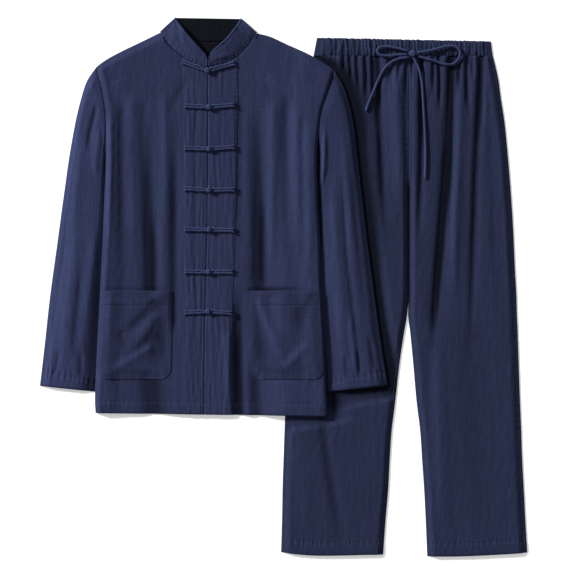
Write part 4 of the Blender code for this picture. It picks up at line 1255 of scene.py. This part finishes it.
# %% Drawstring bow
BOW_KNOT = (725.5, 978)
BOW_ROUTES = {
    "drawstring_loop_left": [(716, 983), (702, 987), (688, 990), (672, 992), (660, 989), (656, 983),
                             (660, 977), (672, 974), (690, 975), (703, 976.5), (715.5, 976.5)],
    "drawstring_loop_right": [(735.5, 980.5), (749, 982), (768, 986), (794, 992.5), (811, 991), (818, 981),
                              (815, 968), (806, 959), (794, 957), (768, 964), (748, 969.5), (736.5, 973)],
    "drawstring_end_left": [(717.5, 970.5), (706, 969.5), (693, 966), (677, 956), (664, 937), (651, 908),
                            (641, 884), (635, 866)],
    "drawstring_end_right": [(728, 969.5), (733, 960), (738, 949), (743, 929), (746, 895), (749, 843),
                             (751, 791), (751, 764), (750, 735)],
}
BAND_TOP = 2 * WALL + SEAM + BAND_PLUMP + 3.0


def trouser_top(x, y):
    """Top of the trousers and their band, as a cord feels them."""
    cloth_top = 2 * WALL + leg_air(x, y)
    return mix(cloth_top, BAND_TOP, smooth((y - WAIST_SEAM + 7.0) / 7.0))


def on_trousers(flat_points, radius):
    """Lays flat points on the trousers, over the gathers and never through them."""
    x, y = flat_points[:, 0], flat_points[:, 1]
    lift = trouser_top(x, y)
    for dx, dy in ((-4, 0), (4, 0), (0, -4), (0, 4), (-2, 0), (2, 0)):
        lift = np.maximum(lift, trouser_top(x + dx, y + dy))
    eased = np.convolve(np.pad(lift, 4, mode="edge"), np.ones(9) / 9.0, mode="valid")
    return np.column_stack([x, y, np.maximum(lift, eased) + radius])


bow_knot = knot_ball("drawstring_bow_knot", (*BOW_KNOT, BAND_TOP + 4.0), (7.2, 6.2, 5.0), "drawstring_knot",
                     CORD_LINEN)
for name, route in BOW_ROUTES.items():
    laid = on_trousers(smooth_route(route, 4.0), DRAWSTRING)
    piece, length = cord(f"{name}_cord", laid, DRAWSTRING, name, CORD_LINEN)
    print(name, "length", round(length, 3), "m")

# %% [markdown]
# ## Topstitching
# The hems, bands, pockets, cuffs and trouser seams are topstitched with navy thread, about six stitches to
# 25 mm. A ray is dropped onto the finished cloth at each stitch, so that every one lies in its own dip.
# The real stitches are under 0.5 mm thick, too fine to show, so they are drawn a little thicker. Each is
# a ball of few faces, drawn out along the seam, and each seam's stitches are one mesh.

# %% Stitches laid on the cloth
STITCH_PITCH, STITCH_LENGTH = 4.2, 2.9
STITCH_HALVES = (STITCH_LENGTH / 2 * MM, 0.34 * MM, 0.26 * MM)
STITCH_LIFT, RAY_START = 0.00012, 60.0
BALL_POINTS = 12


def sew(on, name, routes, node):
    """Rows of stitches on a finished piece, as one mesh. A route is a list of flat points on the sheet."""
    cloth_bm = bmesh.new()
    cloth_bm.from_mesh(on.data)
    surface = BVHTree.FromBMesh(cloth_bm)
    bm = bmesh.new()
    for route in routes:
        spots = smooth_route(route, STITCH_PITCH / 2)
        flat = metres(np.column_stack([spots, np.full(len(spots), RAY_START)]))
        hits = [surface.ray_cast(Vector(place), Vector((0, 0, -1)))[0] for place in flat]
        for i in range(1, len(hits) - 1, 2):
            if hits[i - 1] is None or hits[i] is None or hits[i + 1] is None:
                continue
            along = hits[i + 1] - hits[i - 1]
            turn = along.to_track_quat("X", "Z").to_matrix().to_4x4()
            size = Matrix.Diagonal((*STITCH_HALVES, 1.0))
            place = Matrix.Translation(hits[i] + Vector((0, 0, STITCH_LIFT)))
            bmesh.ops.create_icosphere(bm, subdivisions=1, radius=1.0, matrix=place @ turn @ size)
    cloth_bm.free()
    mesh = mesh_from(bm, name)
    mesh.shade_smooth()
    print(name, len(mesh.vertices) // BALL_POINTS, "stitches")
    return finish_piece(put_in_scene(name, mesh), name, node, THREAD)


def down_column(rows, column, offset, y0, y1):
    """A route beside one edge of an outline, from one level to another."""
    levels = np.linspace(y0, y1, 40)
    return np.column_stack([read(rows, column, levels) + offset, levels])


def across_line(x0, x1, height):
    """A route across the sheet at a level that depends on x."""
    spots = np.linspace(x0, x1, 40)
    return np.column_stack([spots, height(spots)])


# %% Stitch every seam
for side in ("left", "right"):
    front = PIECES[f"jacket_front_{side}_cloth"]
    start, end = ("left", "band_left") if side == "left" else ("band_right", "right")
    x0, x1 = read(BODY, start, 300.0), read(BODY, end, 300.0)
    sew(front, f"jacket_front_{side}_stitches", [across_line(x0 + 3, x1 - 3, lambda x: jacket_hem(x) + HEM)],
        f"jacket_front_{side}")
    band = PIECES[f"placket_{side}_cloth"]
    outer = ("band_left", 3.5) if side == "left" else ("band_right", -3.5)
    inner = -6.0 if side == "left" else 6.0
    rows = [down_column(BODY, outer[0], outer[1], 282, 957), down_column(BODY, "centre", inner, 282, 944)]
    x0, x1 = (282, 320) if side == "left" else (324, 373)
    rows.append(across_line(x0, x1, lambda x: jacket_hem(x) + HEM))
    sew(band, f"placket_{side}_stitches", rows, f"placket_{side}")
    low, high = POCKET_LEVELS
    y = np.linspace(low + 24.0, high - 2.0, 20)
    inset, far = POCKET_EDGES[side]
    near_x = read(BODY, side, y) + (inset + 2.5 if side == "left" else -inset - 2.5)
    far_x = mix(read(BODY, side, y), read(BODY, f"band_{side}", y), far) + (-2.5 if side == "left" else 2.5)
    x0, x1 = (near_x, far_x) if side == "left" else (far_x, near_x)
    turn = np.linspace(0.0, math.pi / 2, 7)[1:-1]
    bend = POCKET_CORNER - 2.5
    left_turn = np.column_stack([x0[0] + bend - bend * np.cos(turn), low + 2.5 + bend - bend * np.sin(turn)])
    right_turn = np.column_stack([x1[0] - bend + bend * np.sin(turn), low + 2.5 + bend - bend * np.cos(turn)])
    bottom = np.column_stack([np.linspace(x0[0] + bend, x1[0] - bend, 10), np.full(10, low + 2.5)])
    down_left, up_right = np.column_stack([x0, y])[::-1], np.column_stack([x1, y])
    edge = np.vstack([down_left, left_turn, bottom, right_turn, up_right])
    mouth = across_line(x0[-1], x1[-1], lambda x: np.full_like(x, high - POCKET_HEM))
    sew(PIECES[f"pocket_{side}_cloth"], f"pocket_{side}_stitches", [edge, mouth],
        f"pocket_{side}")
    rows = SLEEVES[side]
    share = 1.0 - CUFF_STITCH / SLEEVE_LENGTH
    outer_end, inner_end = [np.array([read(rows, f"{fold}_{axis}", share, "share") for axis in "xy"])
                            for fold in ("outer", "inner")]
    cuff = [mix(outer_end, inner_end, t) for t in np.linspace(0.02, 0.86, 20)]
    sew(PIECES[f"sleeve_{side}_cloth"], f"sleeve_{side}_stitches", [cuff], f"sleeve_{side}")
    start, end = LEG_EDGES[side]
    x0, x1 = read(LEGS, start, 24.0) + 2, read(LEGS, end, 24.0) - 2
    rows = [across_line(x0, x1, lambda x: read(LEG_HEMS, "y", x, "x") + HEM_STITCH)]
    rows.append(down_column(LEGS, start, 6.0, 30, 960 if side == "right" else 700))
    rows.append(down_column(LEGS, end, -6.0, 30, 960))
    sew(PIECES[f"trouser_front_{side}_cloth"], f"trouser_front_{side}_stitches", rows,
        f"trouser_front_{side}")
collar_rows = []
for side in ("left", "right"):
    for height, first, last in ((1.0 - 5.5 / 38.0, 0.05, 0.96), (4.0 / 38.0, 0.04, 0.97)):
        shares = np.linspace(first, last, 40)
        x, y, z = flap_point(side, shares, np.full(40, height))
        collar_rows.append(np.column_stack([x, y]))
sew(collar, "collar_stitches", collar_rows, "collar")

# %% [markdown]
# ## Floor and light
# The photograph is a cut-out on white, lit softly from the upper left. A pale floor that glows a little, a
# plain white surround and one broad sun at a low angle do the same: low light draws out shallow folds.

# %% Floor
bm = bmesh.new()
bmesh.ops.create_grid(bm, x_segments=1, y_segments=1, size=4.0)
floor_mesh = mesh_from(bm, "studio_floor")
floor = put_in_scene("studio_floor", floor_mesh)
floor_material = bpy.data.materials.new("white paper floor")
floor_material.use_nodes = True
set_values(floor_material.node_tree.nodes["Principled BSDF"], {
    "Base Color": (0.92, 0.92, 0.92, 1.0), "Roughness": 0.9,
    "Emission Color": (1.0, 1.0, 1.0, 1.0), "Emission Strength": 0.35,
})
floor_mesh.materials.append(floor_material)

# %% Lights
world = bpy.data.worlds.new("studio surround")
world.use_nodes = True
set_values(world.node_tree.nodes["Background"], {"Color": (1.0, 1.0, 1.0, 1.0), "Strength": 0.30})
bpy.context.scene.world = world

KEY_PLACE = Vector((-2.2, 1.3, 1.12))
key_data = bpy.data.lights.new("key light", "SUN")
key_data.energy = 5.6
key_data.angle = math.radians(9.0)
key = put_in_scene("key light", key_data)
key.location = KEY_PLACE
key.rotation_euler = (-KEY_PLACE).to_track_quat("-Z", "Y").to_euler()
bpy.context.scene.view_settings.view_transform = "Standard"
